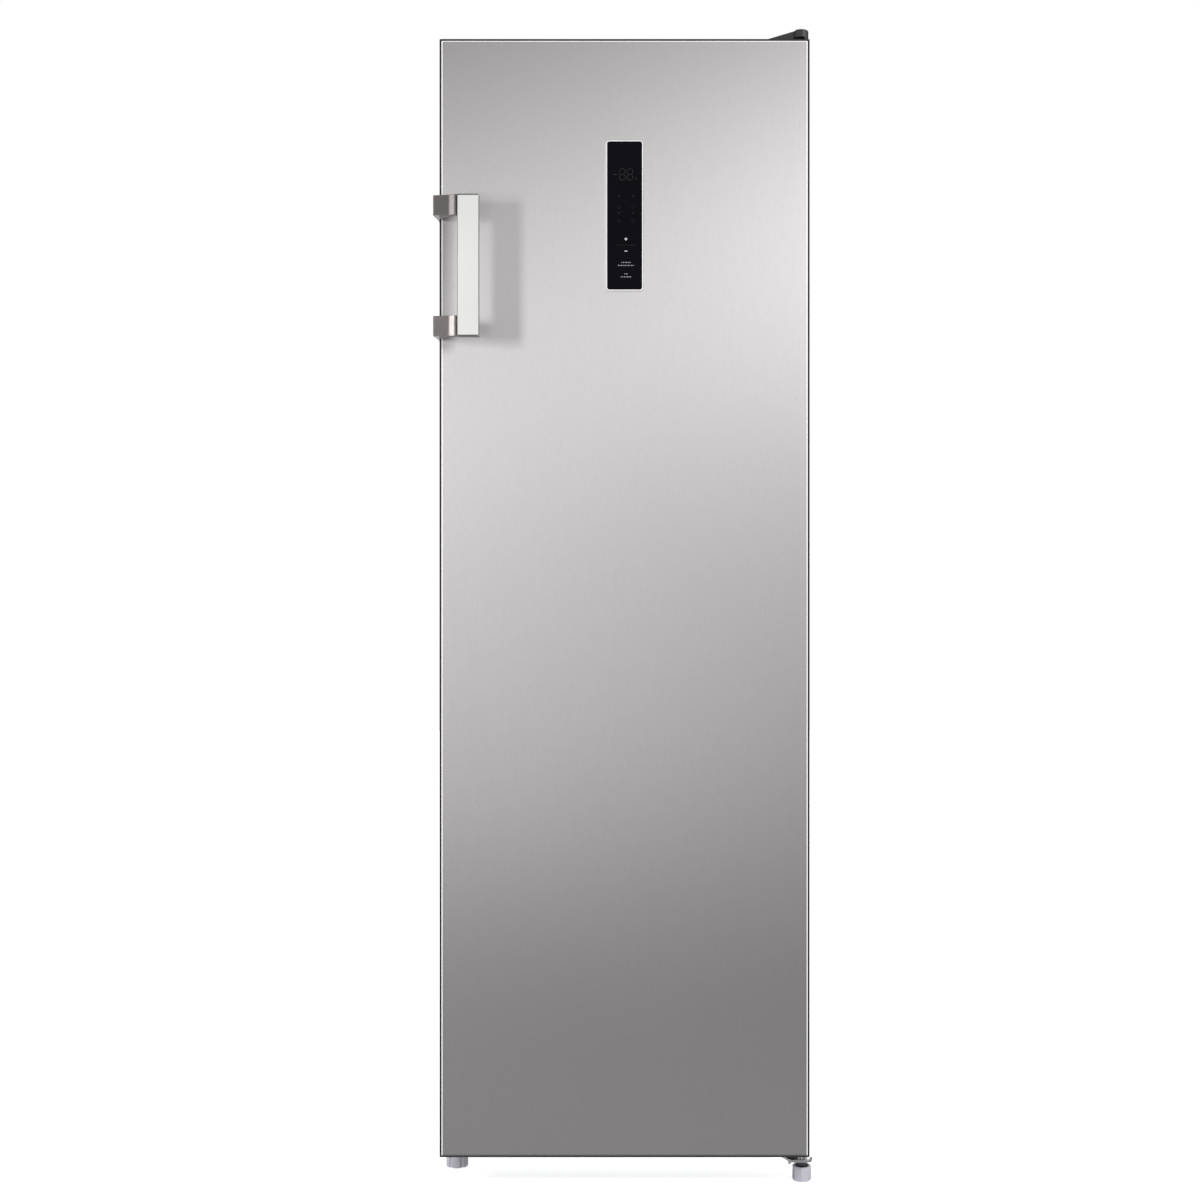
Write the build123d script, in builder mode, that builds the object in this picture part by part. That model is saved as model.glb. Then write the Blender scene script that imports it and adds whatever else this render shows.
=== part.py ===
from build123d import *
import os

# Upright no-frost freezer, 60 cm class, door hinged on the right.
# Millimetres. +X is the freezer's right as seen from the front, -Y its front, +Z up.
# Origin: the middle of the footprint, on the floor.

os.makedirs("parts", exist_ok=True)

# Cabinet
cabinet_width = 595.0
cabinet_top = 1851.0
cabinet_bottom = 34.0
cabinet_back = 347.5
wall = 60.0
sheet = 1.0
bend = 2.5
front_flange = 36.0
rear_return = 15.0

# Door
door_front = -302.5
door_depth = 60.0
door_drop = 2.0
door_lift = 19.0
door_edge_radius = 3.0
seal_gap = 12.0
cap_lip_top = 1.6
cap_lip_bottom = 3.0

# Base
base_plate_thickness = 2.0
rail_height = 24.0
machine_depth = 216.0
machine_top = 300.0

# Inside
liner_thickness = 2.0
floor_height = 130.0
liner_step_front = 70.0
liner_step_top = 355.0
drawer_count = 6
shelf_thickness = 4.0
cover_front = 195.0
cover_thickness = 2.5

# Fits
seat_gap = 0.3
thread_gap = 0.08
slide_gap = 2.0

half = cabinet_width / 2
cabinet_front = door_front + door_depth + seal_gap
door_back = door_front + door_depth
door_top = cabinet_top - door_drop
door_bottom = cabinet_bottom + door_lift
inner_half = half - wall
ceiling = cabinet_top - wall
inner_back = cabinet_back - wall
machine_front = cabinet_back - machine_depth
plate_bottom = cabinet_bottom + sheet
plate_top = plate_bottom + base_plate_thickness
rail_top = plate_top + rail_height - base_plate_thickness
foam_back = cabinet_back - 2 * sheet
compartment = (ceiling - floor_height) / drawer_count


def block(x0, x1, y0, y1, z0, z1, mode=Mode.ADD):
    """A box between three pairs of faces, added to the piece being built."""
    with Locations(((x0 + x1) / 2, (y0 + y1) / 2, (z0 + z1) / 2)):
        Box(x1 - x0, y1 - y0, z1 - z0, mode=mode)


def folded(points, radius):
    """Section of a folded sheet: its outer face, thickened towards the inside."""
    with BuildSketch() as section:
        with BuildLine():
            FilletPolyline(*points, radius=radius)
            offset(amount=sheet, side=Side.RIGHT)
        make_face()
    return section.sketch


def screws(places, head_radius, shank_radius, length, head_height=2.6):
    """Pan head screws with a cross recess; each place lies under the head, its Z pointing out."""
    with BuildPart() as group:
        with Locations(*places):
            Cylinder(head_radius, head_height, align=(Align.CENTER, Align.CENTER, Align.MIN))
            Cylinder(shank_radius, length, align=(Align.CENTER, Align.CENTER, Align.MAX))
        with Locations(*[place * Pos(0, 0, head_height) for place in places]):
            Box(head_radius, 1.0, 2.4, mode=Mode.SUBTRACT)
            Box(1.0, head_radius, 2.4, mode=Mode.SUBTRACT)
    return group


def facing(x, y, z, direction):
    """A place at a point with its Z axis along the given direction."""
    return Plane(origin=(x, y, z), z_dir=direction).location


# ---------------------------------------------------------------- fixed sheet metal

with BuildPart() as side_panel_left:
    with BuildSketch(Plane.XY.offset(cabinet_bottom)):
        add(folded([
            (-half + front_flange, cabinet_front), (-half, cabinet_front),
            (-half, cabinet_back), (-half + rear_return, cabinet_back),
        ], bend))
    extrude(amount=cabinet_top - sheet - cabinet_bottom)

with BuildPart() as side_panel_right:
    add(side_panel_left.part)
    mirror(about=Plane.YZ)
    block(-half - 1, 0, cabinet_front - 1, cabinet_back + 1, 0, cabinet_top, Mode.SUBTRACT)

top_profile = [
    (cabinet_front, cabinet_top - front_flange), (cabinet_front, cabinet_top),
    (cabinet_back, cabinet_top), (cabinet_back, cabinet_top - rear_return),
]
with BuildPart() as top_panel:
    with BuildSketch(Plane.YZ.offset(-half)):
        add(folded(top_profile, bend))
    extrude(amount=cabinet_width)
    for side in (-1, 1):
        for y, width in ((cabinet_front, front_flange), (cabinet_back, rear_return)):
            with Locations((side * (half - width / 2), y, cabinet_top - sheet - 25)):
                Box(width, 12, 50, mode=Mode.SUBTRACT)

# Two long beads stiffen the back; the lower edge takes the machine cover's screws.
back_panel_foot = machine_top - 15.0
bead_inset = 37.5
bead_margin = 120.0
bead_width = 46.0
with BuildPart() as back_panel:
    block(-half + bend, half - bend, foam_back, foam_back + sheet,
          back_panel_foot, cabinet_top - bend)
    with BuildSketch(Plane.XZ.offset(-foam_back - sheet)):
        with Locations((0, (back_panel_foot + cabinet_top) / 2)):
            with GridLocations(half - bead_inset, 0, 2, 1):
                SlotOverall(cabinet_top - back_panel_foot - 2 * bead_margin, bead_width,
                            rotation=90)
    extrude(amount=-0.8)
    fillet(back_panel.faces().sort_by(Axis.Y)[-1].edges(), 0.5)

with BuildPart() as bottom_panel:
    block(-half + sheet, half - sheet, cabinet_front + bend, machine_front,
          rail_top, rail_top + sheet)
    block(-half + sheet, half - sheet, machine_front - sheet, machine_front,
          rail_top, machine_top + sheet)
    block(-half + bend, half - bend, machine_front - sheet, foam_back,
          machine_top, machine_top + sheet)

liner_outer_half = inner_half + liner_thickness
liner_lip = 22.0
beam_top = floor_height - liner_thickness - liner_lip
beam_foot = 26.0
hinge_reach = 113.5
hinge_inner = half - hinge_reach
with BuildPart() as front_beam:
    block(-half + front_flange, half - front_flange, cabinet_front, cabinet_front + sheet,
          cabinet_bottom, beam_top)
    block(-half + front_flange, half - front_flange, cabinet_front, cabinet_front + beam_foot,
          cabinet_bottom, plate_bottom)
    block(hinge_inner, half - front_flange, cabinet_front, cabinet_front + 4,
          plate_top + 2, rail_top - 2)

# ---------------------------------------------------------------- base frame, feet, rollers

hinge_x = half - 12.0
hinge_y = door_front + 35.0
left_foot = (-half + 18.5, cabinet_front + 47.0)
right_foot = (half - 7.0, hinge_y + 15.0)
foot_height = cabinet_bottom - 10.4
foot_wall = 3.6
foot_floor = 3.0
bracket_bottom = cabinet_bottom + 4.0
stud_radius = 5.0
nut_height = 8.0
roller_radius = 20.0
roller_width = 16.0
roller_x = half - 35.5
roller_y = cabinet_back - 47.5
axle_radius = 3.0
cheek = 2.0
cheek_gap = 1.5
compressor_x = -60.0
compressor_y = (machine_front + foam_back) / 2
grommet_dx = 82.0
grommet_dy = 60.0
grommet_height = 20.0
rear_upstand = 26.0
frame_half = half - sheet

with BuildPart() as base_frame:
    block(-frame_half, frame_half, cabinet_front + bend, foam_back - bend,
          plate_bottom, plate_top)
    block(-frame_half + 12, frame_half - 12, cabinet_front + sheet, foam_back + sheet,
          plate_bottom, plate_top)
    block(-frame_half + 44, frame_half - 44, cabinet_front + 76, machine_front - 6,
          plate_bottom, plate_top, Mode.SUBTRACT)
    for side in (-1, 1):
        x = side * (frame_half - 1)
        block(x - 1, x + 1, cabinet_front + 6, foam_back - bend, plate_top, rail_top)
    block(-frame_half + 12, frame_half - 12, foam_back - sheet, foam_back + sheet,
          plate_top, plate_top + rear_upstand)
    with BuildSketch(Plane.XY.offset(plate_top)):
        with Locations(left_foot):
            RegularPolygon(10, 6)
    extrude(amount=nut_height)
    with Locations((*left_foot, plate_top)):
        Cylinder(stud_radius + thread_gap, 40, mode=Mode.SUBTRACT)
    for side in (-1, 1):
        x = side * roller_x
        reach = roller_width / 2 + cheek_gap
        block(x - reach, x + reach, roller_y - 24, roller_y + 24,
              plate_bottom, plate_top, Mode.SUBTRACT)
        for edge in (-1, 1):
            inner = x + edge * reach
            outer = x + edge * (reach + cheek)
            with BuildSketch(Plane.YZ.offset(min(inner, outer))):
                with BuildLine():
                    Polyline((roller_y - 17, plate_top), (roller_y - 9, 13),
                             (roller_y + 9, 13), (roller_y + 17, plate_top), close=True)
                make_face()
            extrude(amount=cheek)
            with Locations(facing((inner + outer) / 2, roller_y, roller_radius, (1, 0, 0))):
                Cylinder(axle_radius, 6, mode=Mode.SUBTRACT)
    with Locations((compressor_x, compressor_y, plate_bottom)):
        with GridLocations(2 * grommet_dx, 2 * grommet_dy, 2, 2):
            Cylinder(4.0, 20, mode=Mode.SUBTRACT)

with BuildPart() as roller_axles:
    for side in (-1, 1):
        reach = roller_width / 2 + cheek_gap + cheek
        with Locations(facing(side * roller_x, roller_y, roller_radius, (1, 0, 0))):
            Cylinder(axle_radius, 2 * reach)
            with Locations((0, 0, reach + 0.9), (0, 0, -reach - 0.9)):
                Cylinder(axle_radius + 1.8, 1.8)


def roller(x):
    """Rear transport wheel: a tyre-like rim with a recessed web on each side."""
    with BuildPart() as wheel:
        with BuildSketch(Plane.XY):
            with BuildLine():
                Polyline((axle_radius + thread_gap, -roller_width / 2),
                         (7.0, -roller_width / 2), (8.0, -4.0), (14.5, -4.0),
                         (15.5, -roller_width / 2 + 1), (18.5, -roller_width / 2 + 1),
                         (roller_radius, -4.5), (roller_radius, 4.5),
                         (18.5, roller_width / 2 - 1), (15.5, roller_width / 2 - 1),
                         (14.5, 4.0), (8.0, 4.0), (7.0, roller_width / 2),
                         (axle_radius + thread_gap, roller_width / 2), close=True)
            make_face()
        revolve(axis=Axis.Y)
    with BuildPart() as placed:
        add(wheel.part.rotate(Axis.Z, 90).move(Pos(x, roller_y, roller_radius)))
    return placed


def fluted(radius, lobes):
    """Outline of a knob with a finger groove between its lobes."""
    with BuildSketch() as outline:
        Circle(radius)
        with PolarLocations(radius + 1.6, lobes, start_angle=180 / lobes - 90):
            Circle(3.8, mode=Mode.SUBTRACT)
        fillet(outline.vertices(), 1.2)
    return outline.sketch


def faceted(radius, sides, turn):
    """Outline of a cup with flat sides for the fingers."""
    with BuildSketch() as outline:
        RegularPolygon(radius, sides, rotation=turn)
    return outline.sketch


def foot_pad(centre, outline, radius, webs, turn):
    """Open foot: shaped wall, floor, central sleeve and radial webs up to the wall."""
    hollow = radius - foot_wall
    with BuildPart() as knob:
        with BuildSketch():
            add(outline)
        extrude(amount=foot_height)
        fillet(knob.faces().sort_by(Axis.Z)[0].edges(), 0.8)
        with Locations((0, 0, foot_floor)):
            Cylinder(hollow, foot_height, align=(Align.CENTER, Align.CENTER, Align.MIN),
                     mode=Mode.SUBTRACT)
            Cylinder(stud_radius + 2.0, foot_height - 8,
                     align=(Align.CENTER, Align.CENTER, Align.MIN))
        with BuildSketch(Plane.XY.offset(foot_floor)):
            with PolarLocations((hollow + stud_radius) / 2 + 0.8, webs, start_angle=turn):
                Rectangle(hollow - stud_radius, 1.2)
            Circle(stud_radius + 1, mode=Mode.SUBTRACT)
        extrude(amount=foot_height - 10)
        with Locations((0, 0, foot_floor)):
            Cylinder(stud_radius + thread_gap, foot_height,
                     align=(Align.CENTER, Align.CENTER, Align.MIN), mode=Mode.SUBTRACT)
    with BuildPart() as placed:
        add(knob.part.move(Pos(*centre, 0)))
    return placed


def foot_stud(centre, top):
    """Threaded stud standing in the knob, with the hexagon that the spanner turns."""
    with BuildPart() as stud:
        with Locations((*centre, foot_floor + seat_gap)):
            Cylinder(stud_radius, top - foot_floor - seat_gap,
                     align=(Align.CENTER, Align.CENTER, Align.MIN))
        chamfer(stud.faces().sort_by(Axis.Z)[-1].edges(), 1.0)
        with BuildSketch(Plane.XY.offset(foot_height + seat_gap)):
            with Locations(centre):
                RegularPolygon(8.6, 6)
        extrude(amount=6.0)
    return stud


knob_radius = 18.5
knob_lobes = 6
cup_radius = 15.3
cup_sides = 8
cup_turn = -7.5
with BuildPart() as foot_pad_left:
    add(foot_pad(left_foot, fluted(knob_radius, knob_lobes), knob_radius, knob_lobes, 90).part)
with BuildPart() as foot_pad_right:
    add(foot_pad(right_foot, faceted(cup_radius, cup_sides, cup_turn), cup_radius, cup_sides,
                 cup_turn).part)
with BuildPart() as foot_stud_left:
    add(foot_stud(left_foot, plate_top + 19.0).part)
with BuildPart() as foot_stud_right:
    add(foot_stud(right_foot, bracket_bottom + 13.5).part)
with BuildPart() as roller_left:
    add(roller(-roller_x).part)
with BuildPart() as roller_right:
    add(roller(roller_x).part)

# ---------------------------------------------------------------- hinges

pin_radius = 4.0
pin_gap = 0.1
pin_depth = 17.0
bracket_plate = 4.0
bracket_flange_top = bracket_bottom + 28.0

bottom_screw_places = [
    facing(hinge_inner + x, cabinet_front - bracket_plate, bracket_bottom + 12, (0, -1, 0))
    for x in (10.0, 34.0, 58.0)
]
bottom_hinge_screws = screws(bottom_screw_places, 5.0, 2.4, 14.0)

with BuildPart() as bottom_hinge:
    with BuildSketch(Plane.XY.offset(bracket_bottom)):
        with BuildLine():
            FilletPolyline((hinge_inner, cabinet_front),
                           (hinge_inner, cabinet_front - bracket_plate),
                           (half - 51.5, cabinet_front - bracket_plate),
                           (half - 29.5, hinge_y - 16), (half, hinge_y - 16),
                           (half, cabinet_front), radius=1.5, close=True)
        make_face()
    extrude(amount=bracket_plate)
    block(hinge_inner, half - 12, cabinet_front - bracket_plate, cabinet_front,
          bracket_bottom, bracket_flange_top)
    with Locations((hinge_x, hinge_y, bracket_bottom + bracket_plate)):
        Cylinder(7.5, door_bottom - seat_gap - bracket_bottom - bracket_plate,
                 align=(Align.CENTER, Align.CENTER, Align.MIN))
        Cylinder(pin_radius, door_bottom + pin_depth - bracket_bottom - bracket_plate,
                 align=(Align.CENTER, Align.CENTER, Align.MIN))
    for x, z in ((right_foot[0] - 22.7, bracket_bottom + 1.0),
                 (right_foot[0] + 11.0, bracket_bottom + 4.0)):
        with BuildSketch(Plane.XZ.offset(-hinge_y + 12)):
            with Locations((x, z)):
                SlotOverall(8.5, 4.2, rotation=70)
        extrude(amount=3.0)
    block(right_foot[0] + 6, right_foot[0] + 11, hinge_y - 15, hinge_y - 12,
          bracket_bottom, bracket_bottom + bracket_plate)
    with Locations((*right_foot, bracket_bottom)):
        Cylinder(stud_radius + thread_gap, 60, mode=Mode.SUBTRACT)
    add(bottom_hinge_screws.part, mode=Mode.SUBTRACT)

top_screw_places = [
    facing(x, y, cabinet_top + 3.0, (0, 0, 1))
    for x, y in ((half - 41.5, cabinet_front + 22.5), (half - 41.5, cabinet_front + 48.5),
                 (half - 15.5, cabinet_front + 36.5))
]
top_hinge_screws = screws(top_screw_places, 5.0, 2.4, 15.0)
with BuildPart() as top_hinge:
    with BuildSketch(Plane.XY.offset(cabinet_top)):
        with BuildLine():
            FilletPolyline((half - 52.5, cabinet_front + 62.5),
                           (half - 52.5, cabinet_front + 8.5),
                           (half - 35.5, cabinet_front - 1.5),
                           (hinge_x - 11, hinge_y - 11), (hinge_x + 10, hinge_y - 11),
                           (hinge_x + 10, cabinet_front + 62.5), radius=5, close=True)
        make_face()
    extrude(amount=3.0)
    with Locations((hinge_x, hinge_y, cabinet_top + 3.0)):
        Cylinder(pin_radius, 3.0 + door_drop + pin_depth,
                 align=(Align.CENTER, Align.CENTER, Align.MAX))
        Cylinder(6.5, 2.0, align=(Align.CENTER, Align.CENTER, Align.MIN))
        Cylinder(2.6, 6.4, align=(Align.CENTER, Align.CENTER, Align.MIN))
    with Locations((hinge_x, hinge_y, cabinet_top)):
        Cylinder(7.5, door_drop - seat_gap,
                 align=(Align.CENTER, Align.CENTER, Align.MAX))
    add(top_hinge_screws.part, mode=Mode.SUBTRACT)

# A long ramp that rises towards the hinge, with a round nose over the pin. A window in the
# nose's foot shows the tip of the pin.
cover_low = 1.2
cover_high = 22.0
window_high = 10.2
nose_radius = 12.0
nose_x = hinge_x + 2.0
cover_left = half - 89.5
cover_back = cabinet_front + 74.5
cover_right = nose_x + nose_radius
with BuildPart() as hinge_cover:
    with BuildSketch(Plane.XY.offset(cabinet_top)) as outline:
        with BuildLine():
            Polyline((cover_left, cover_back), (cover_left, cabinet_front + 0.5),
                     (cover_left + 8, hinge_y - 4), (nose_x, hinge_y - 4),
                     (cover_right, hinge_y), (cover_right, cover_back), close=True)
        make_face()
        with Locations((nose_x, hinge_y)):
            Circle(nose_radius)
    extrude(amount=cover_high + 1)
    with BuildSketch(Plane.XZ.offset(-cover_back)):
        with BuildLine():
            ramp = Polyline((cover_left - 1, cabinet_top + cover_low),
                            (cover_left + 1, cabinet_top + cover_low),
                            (hinge_x - 8, cabinet_top + cover_high - 0.4))
            nose = Spline(ramp @ 1, (nose_x - 1, cabinet_top + cover_high),
                          (cover_right + 1, cabinet_top + cover_high - 1.8),
                          tangents=(ramp % 1, (1, -0.5)))
            Polyline(nose @ 1, (cover_right + 1, cabinet_top + cover_high + 2),
                     (cover_left - 1, cabinet_top + cover_high + 2), ramp @ 0)
        make_face()
    extrude(amount=cover_back - hinge_y + nose_radius + 1, mode=Mode.SUBTRACT)
    block(hinge_x - 11.5, hinge_x + 7, hinge_y - nose_radius - 1, hinge_y + 5,
          cabinet_top, cabinet_top + window_high, Mode.SUBTRACT)
    add(top_hinge.part, mode=Mode.SUBTRACT)
    add(top_hinge_screws.part, mode=Mode.SUBTRACT)

# ---------------------------------------------------------------- inner liner and foam


def cavity(grow):
    """Side view of the food space, with the step over the machine compartment."""
    with BuildSketch() as face:
        with BuildLine():
            FilletPolyline((cabinet_front - 40, floor_height), (liner_step_front, floor_height),
                           (liner_step_front + 14, liner_step_top), (inner_back, liner_step_top),
                           (inner_back, ceiling), (cabinet_front - 40, ceiling),
                           radius=14, close=True)
        make_face()
        offset(amount=grow)
    return face.sketch


ledge_front = cabinet_front + 34.0
ledge_length = cover_front - 11 - ledge_front
shelf_heights = [floor_height + compartment * k for k in range(1, drawer_count)]

with BuildPart() as inner_liner:
    with BuildSketch(Plane.YZ.offset(-liner_outer_half)):
        add(cavity(liner_thickness))
    extrude(amount=2 * liner_outer_half)
    block(-half, half, cabinet_front - 60, cabinet_front, 0, cabinet_top, Mode.SUBTRACT)
    block(-half + front_flange, half - front_flange, cabinet_front, cabinet_front + sheet,
          beam_top, cabinet_top - front_flange)
    with BuildSketch(Plane.YZ.offset(-inner_half)):
        add(cavity(0))
    extrude(amount=2 * inner_half, mode=Mode.SUBTRACT)
    for height in shelf_heights:
        for side in (-1, 1):
            x = side * (inner_half - 5)
            with BuildSketch(Plane.XZ.offset(-ledge_front)):
                with Locations((x, height - shelf_thickness / 2 - 4)):
                    Trapezoid(8, 10, 80, rotation=90 * side)
            extrude(amount=-ledge_length)

with BuildPart() as cabinet_foam:
    with BuildSketch(Plane.YZ.offset(-half + sheet)):
        with BuildLine():
            Polyline((cabinet_front + sheet, rail_top + sheet),
                     (machine_front - sheet, rail_top + sheet),
                     (machine_front - sheet, machine_top + sheet),
                     (foam_back, machine_top + sheet), (foam_back, cabinet_top - sheet),
                     (cabinet_front + sheet, cabinet_top - sheet), close=True)
        make_face()
    extrude(amount=2 * (half - sheet))
    fillet(cabinet_foam.edges().filter_by(Axis.Z).group_by(Axis.Y)[0], bend)
    fillet(cabinet_foam.edges().filter_by(Axis.Z).group_by(Axis.Y)[-1], bend - sheet)
    fillet(cabinet_foam.edges().filter_by(Axis.X).group_by(Axis.Z)[-1], bend)
    with BuildSketch(Plane.YZ.offset(-liner_outer_half)):
        add(cavity(liner_thickness))
    extrude(amount=2 * liner_outer_half, mode=Mode.SUBTRACT)
    add(top_hinge_screws.part, mode=Mode.SUBTRACT)
    add(bottom_hinge_screws.part, mode=Mode.SUBTRACT)

for panel in (top_panel, front_beam):
    with panel:
        add(top_hinge_screws.part, mode=Mode.SUBTRACT)
        add(bottom_hinge_screws.part, mode=Mode.SUBTRACT)

# ---------------------------------------------------------------- machine compartment

shell_base = plate_top + grommet_height + 3.0
shell_length = 196.0
shell_width = 152.0
shell_height = 168.0
with BuildPart() as compressor:
    with BuildSketch(Plane.XY.offset(shell_base)):
        with Locations((compressor_x, compressor_y)):
            Ellipse(shell_length / 2, shell_width / 2)
    extrude(amount=shell_height)
    fillet(compressor.faces().sort_by(Axis.Z)[-1].edges(), 44)
    fillet(compressor.faces().sort_by(Axis.Z)[0].edges(), 20)
    with BuildSketch(Plane.XY.offset(shell_base + 92)):
        with Locations((compressor_x, compressor_y)):
            Ellipse(shell_length / 2 + 3, shell_width / 2 + 3)
    extrude(amount=7)
    block(compressor_x - grommet_dx - 14, compressor_x + grommet_dx + 14,
          compressor_y - grommet_dy - 14, compressor_y + grommet_dy + 14,
          shell_base - 3, shell_base)
    block(compressor_x - 50, compressor_x + 50, compressor_y - 50, compressor_y + 50,
          shell_base - 1, shell_base + 24)
    with Locations((compressor_x, compressor_y, shell_base)):
        with GridLocations(2 * grommet_dx, 2 * grommet_dy, 2, 2):
            Cylinder(4.0, 30, mode=Mode.SUBTRACT)

with BuildPart() as grommets:
    with Locations((compressor_x, compressor_y, plate_top)):
        with GridLocations(2 * grommet_dx, 2 * grommet_dy, 2, 2):
            Cylinder(11.0, grommet_height, align=(Align.CENTER, Align.CENTER, Align.MIN))
            Cylinder(4.0, grommet_height + 6, align=(Align.CENTER, Align.CENTER, Align.MIN))
            Cylinder(4.0, base_plate_thickness, align=(Align.CENTER, Align.CENTER, Align.MAX))

relay_x = compressor_x + shell_length / 2 + 3
with BuildPart() as compressor_cover:
    block(relay_x - 12, relay_x + 34, compressor_y - 34, compressor_y + 34,
          shell_base + 42, shell_base + 110)
    fillet(compressor_cover.faces().sort_by(Axis.X)[-1].edges(), 6)
    add(compressor.part, mode=Mode.SUBTRACT)

tray_base = shell_base + shell_height
tray_wall = 2.0
tray_length = 228.0
tray_width = 150.0
tray_height = 34.0
with BuildPart() as drip_tray:
    with BuildSketch(Plane.XY.offset(tray_base)):
        with Locations((compressor_x, compressor_y - 4)):
            RectangleRounded(tray_length, tray_width, 16)
    extrude(amount=tray_height, taper=-6)
    with BuildSketch(Plane.XY.offset(tray_base + tray_wall)):
        with Locations((compressor_x, compressor_y - 4)):
            RectangleRounded(tray_length - 2 * tray_wall, tray_width - 2 * tray_wall, 14)
    extrude(amount=tray_height, taper=-6, mode=Mode.SUBTRACT)

drier_x = half - 147.5
drier_y = machine_front + 40.0
drier_base = shell_base + 60.0
drier_length = 118.0
drier_top = drier_base + drier_length
drier_radius = 9.0
drier_neck = 12.0
strap_width = 16.0
strap_low = drier_base + (drier_length - strap_width) / 2
tube_radius = 3.0
tube_low = plate_top + 37.0
tube_back = foam_back - 35.5
tube_loop = drier_x + 60.0
tube_port = compressor_x + 80.0
port_height = shell_base + 52.0
with BuildPart() as filter_drier:
    with BuildSketch(Plane.XZ.offset(-drier_y)):
        with BuildLine():
            Polyline((drier_x, drier_base), (drier_x + tube_radius + 1, drier_base),
                     (drier_x + tube_radius + 1, drier_base + drier_neck),
                     (drier_x + drier_radius, drier_base + drier_neck + 8),
                     (drier_x + drier_radius, drier_top - drier_neck - 10),
                     (drier_x + tube_radius, drier_top - drier_neck),
                     (drier_x + tube_radius, drier_top), (drier_x, drier_top), close=True)
        make_face()
    revolve(axis=Axis((drier_x, drier_y, 0), (0, 0, 1)))
    block(drier_x - 6, drier_x + 6, machine_front, drier_y - 7,
          strap_low, strap_low + strap_width)

with BuildPart() as refrigerant_tube:
    with BuildLine() as route:
        FilletPolyline((drier_x, drier_y, drier_base),
                       (drier_x, drier_y, tube_low), (tube_loop, drier_y, tube_low),
                       (tube_loop, tube_back, tube_low), (tube_port, tube_back, tube_low),
                       (tube_port, tube_back, port_height),
                       (tube_port, compressor_y + 40, port_height), radius=9)
    with BuildSketch(Plane(origin=route.line @ 0, z_dir=route.line % 0)):
        Circle(tube_radius)
    sweep()
    add(compressor.part, mode=Mode.SUBTRACT)
    add(compressor_cover.part, mode=Mode.SUBTRACT)

cover_bottom = plate_top + 5.0
cover_top = machine_top + 14.0
cover_half = half - rear_return - 0.5
cover_screw_places = [
    facing(x, foam_back + sheet + 1.6, z, (0, 1, 0))
    for x in (-half + 31.5, half - 31.5) for z in (cover_bottom + 9, cover_top - 7)
]
rear_cover_screws = screws(cover_screw_places, 4.5, 1.9, 6.0, 2.2)
gland_place = facing(-half + 61.5, foam_back + sheet, plate_top + 43, (0, 1, 0))
with BuildPart() as cord_gland:
    with Locations(gland_place):
        Cylinder(9.0, 12.0)
        with Locations((0, 0, 1.6)):
            Cylinder(13.0, 4.0, align=(Align.CENTER, Align.CENTER, Align.MIN))
        with Locations((0, 0, 0)):
            Cylinder(12.0, 3.0, align=(Align.CENTER, Align.CENTER, Align.MAX))
        Cylinder(4.5, 30, mode=Mode.SUBTRACT)

louvre_pitch = 18.0
louvre_width = 150.0
louvre_rows = int((back_panel_foot - cover_bottom - 40) / louvre_pitch)
with BuildPart() as rear_cover:
    block(-cover_half, cover_half, foam_back + sheet, foam_back + sheet + 1.6,
          cover_bottom, cover_top)
    fillet(rear_cover.edges().filter_by(Axis.Y), 6)
    middle = (cover_bottom + back_panel_foot) / 2 + 8
    for x in (-louvre_width / 2 - 10, louvre_width / 2 + 10):
        for row in range(louvre_rows):
            z = middle + (row - (louvre_rows - 1) / 2) * louvre_pitch
            block(x - louvre_width / 2, x + louvre_width / 2, foam_back, foam_back + 5,
                  z, z + 8, Mode.SUBTRACT)
            with BuildSketch(Plane.YZ.offset(x - louvre_width / 2)):
                with BuildLine():
                    Polyline((foam_back + sheet, z + 8), (foam_back + sheet + 1.6, z + 8),
                             (foam_back - 7, z - 1), (foam_back - 8.4, z - 0.2), close=True)
                make_face()
            extrude(amount=louvre_width)
    with Locations(gland_place):
        Cylinder(9.0, 12.0, mode=Mode.SUBTRACT)
    add(rear_cover_screws.part, mode=Mode.SUBTRACT)

for carrier in (back_panel, base_frame, cabinet_foam):
    with carrier:
        add(rear_cover_screws.part, mode=Mode.SUBTRACT)

# ---------------------------------------------------------------- cooling unit behind its cover

cover_foot = floor_height + 4 * compartment + 10.0
fan_x = 0.0
fan_z = ceiling - 131.0
fan_radius = 62.0
fan_tip_gap = 3.0
with BuildPart() as evaporator_cover:
    block(-inner_half, inner_half, cover_front, cover_front + cover_thickness,
          cover_foot, ceiling)
    block(-inner_half, inner_half, cover_front, inner_back, cover_foot,
          cover_foot + cover_thickness)
    with Locations(facing(fan_x, cover_front, fan_z, (0, 1, 0))):
        Cylinder(fan_radius + fan_tip_gap + 2.5, 46,
                 align=(Align.CENTER, Align.CENTER, Align.MIN))
        Cylinder(fan_radius + fan_tip_gap, 120, mode=Mode.SUBTRACT)
        for radius in (20.0, 36.0, 52.0):
            with Locations((0, 0, cover_thickness / 2)):
                Cylinder(radius + 3.0, cover_thickness)
                Cylinder(radius, cover_thickness, mode=Mode.SUBTRACT)
        with Locations((0, 0, cover_thickness / 2)):
            Cylinder(14.0, cover_thickness)
    with BuildSketch(Plane.XZ.offset(-cover_front)):
        with Locations((fan_x, fan_z)):
            with PolarLocations((fan_radius + 16) / 2, 6):
                Rectangle(fan_radius - 8, 4)
    extrude(amount=-cover_thickness)
    for z in (cover_foot + 43, cover_foot + 173, fan_z - fan_radius - 38):
        for x in (-inner_half + 87.5, inner_half - 87.5):
            block(x - 42, x + 42, cover_front - 1, cover_front + 4, z, z + 7, Mode.SUBTRACT)

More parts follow.
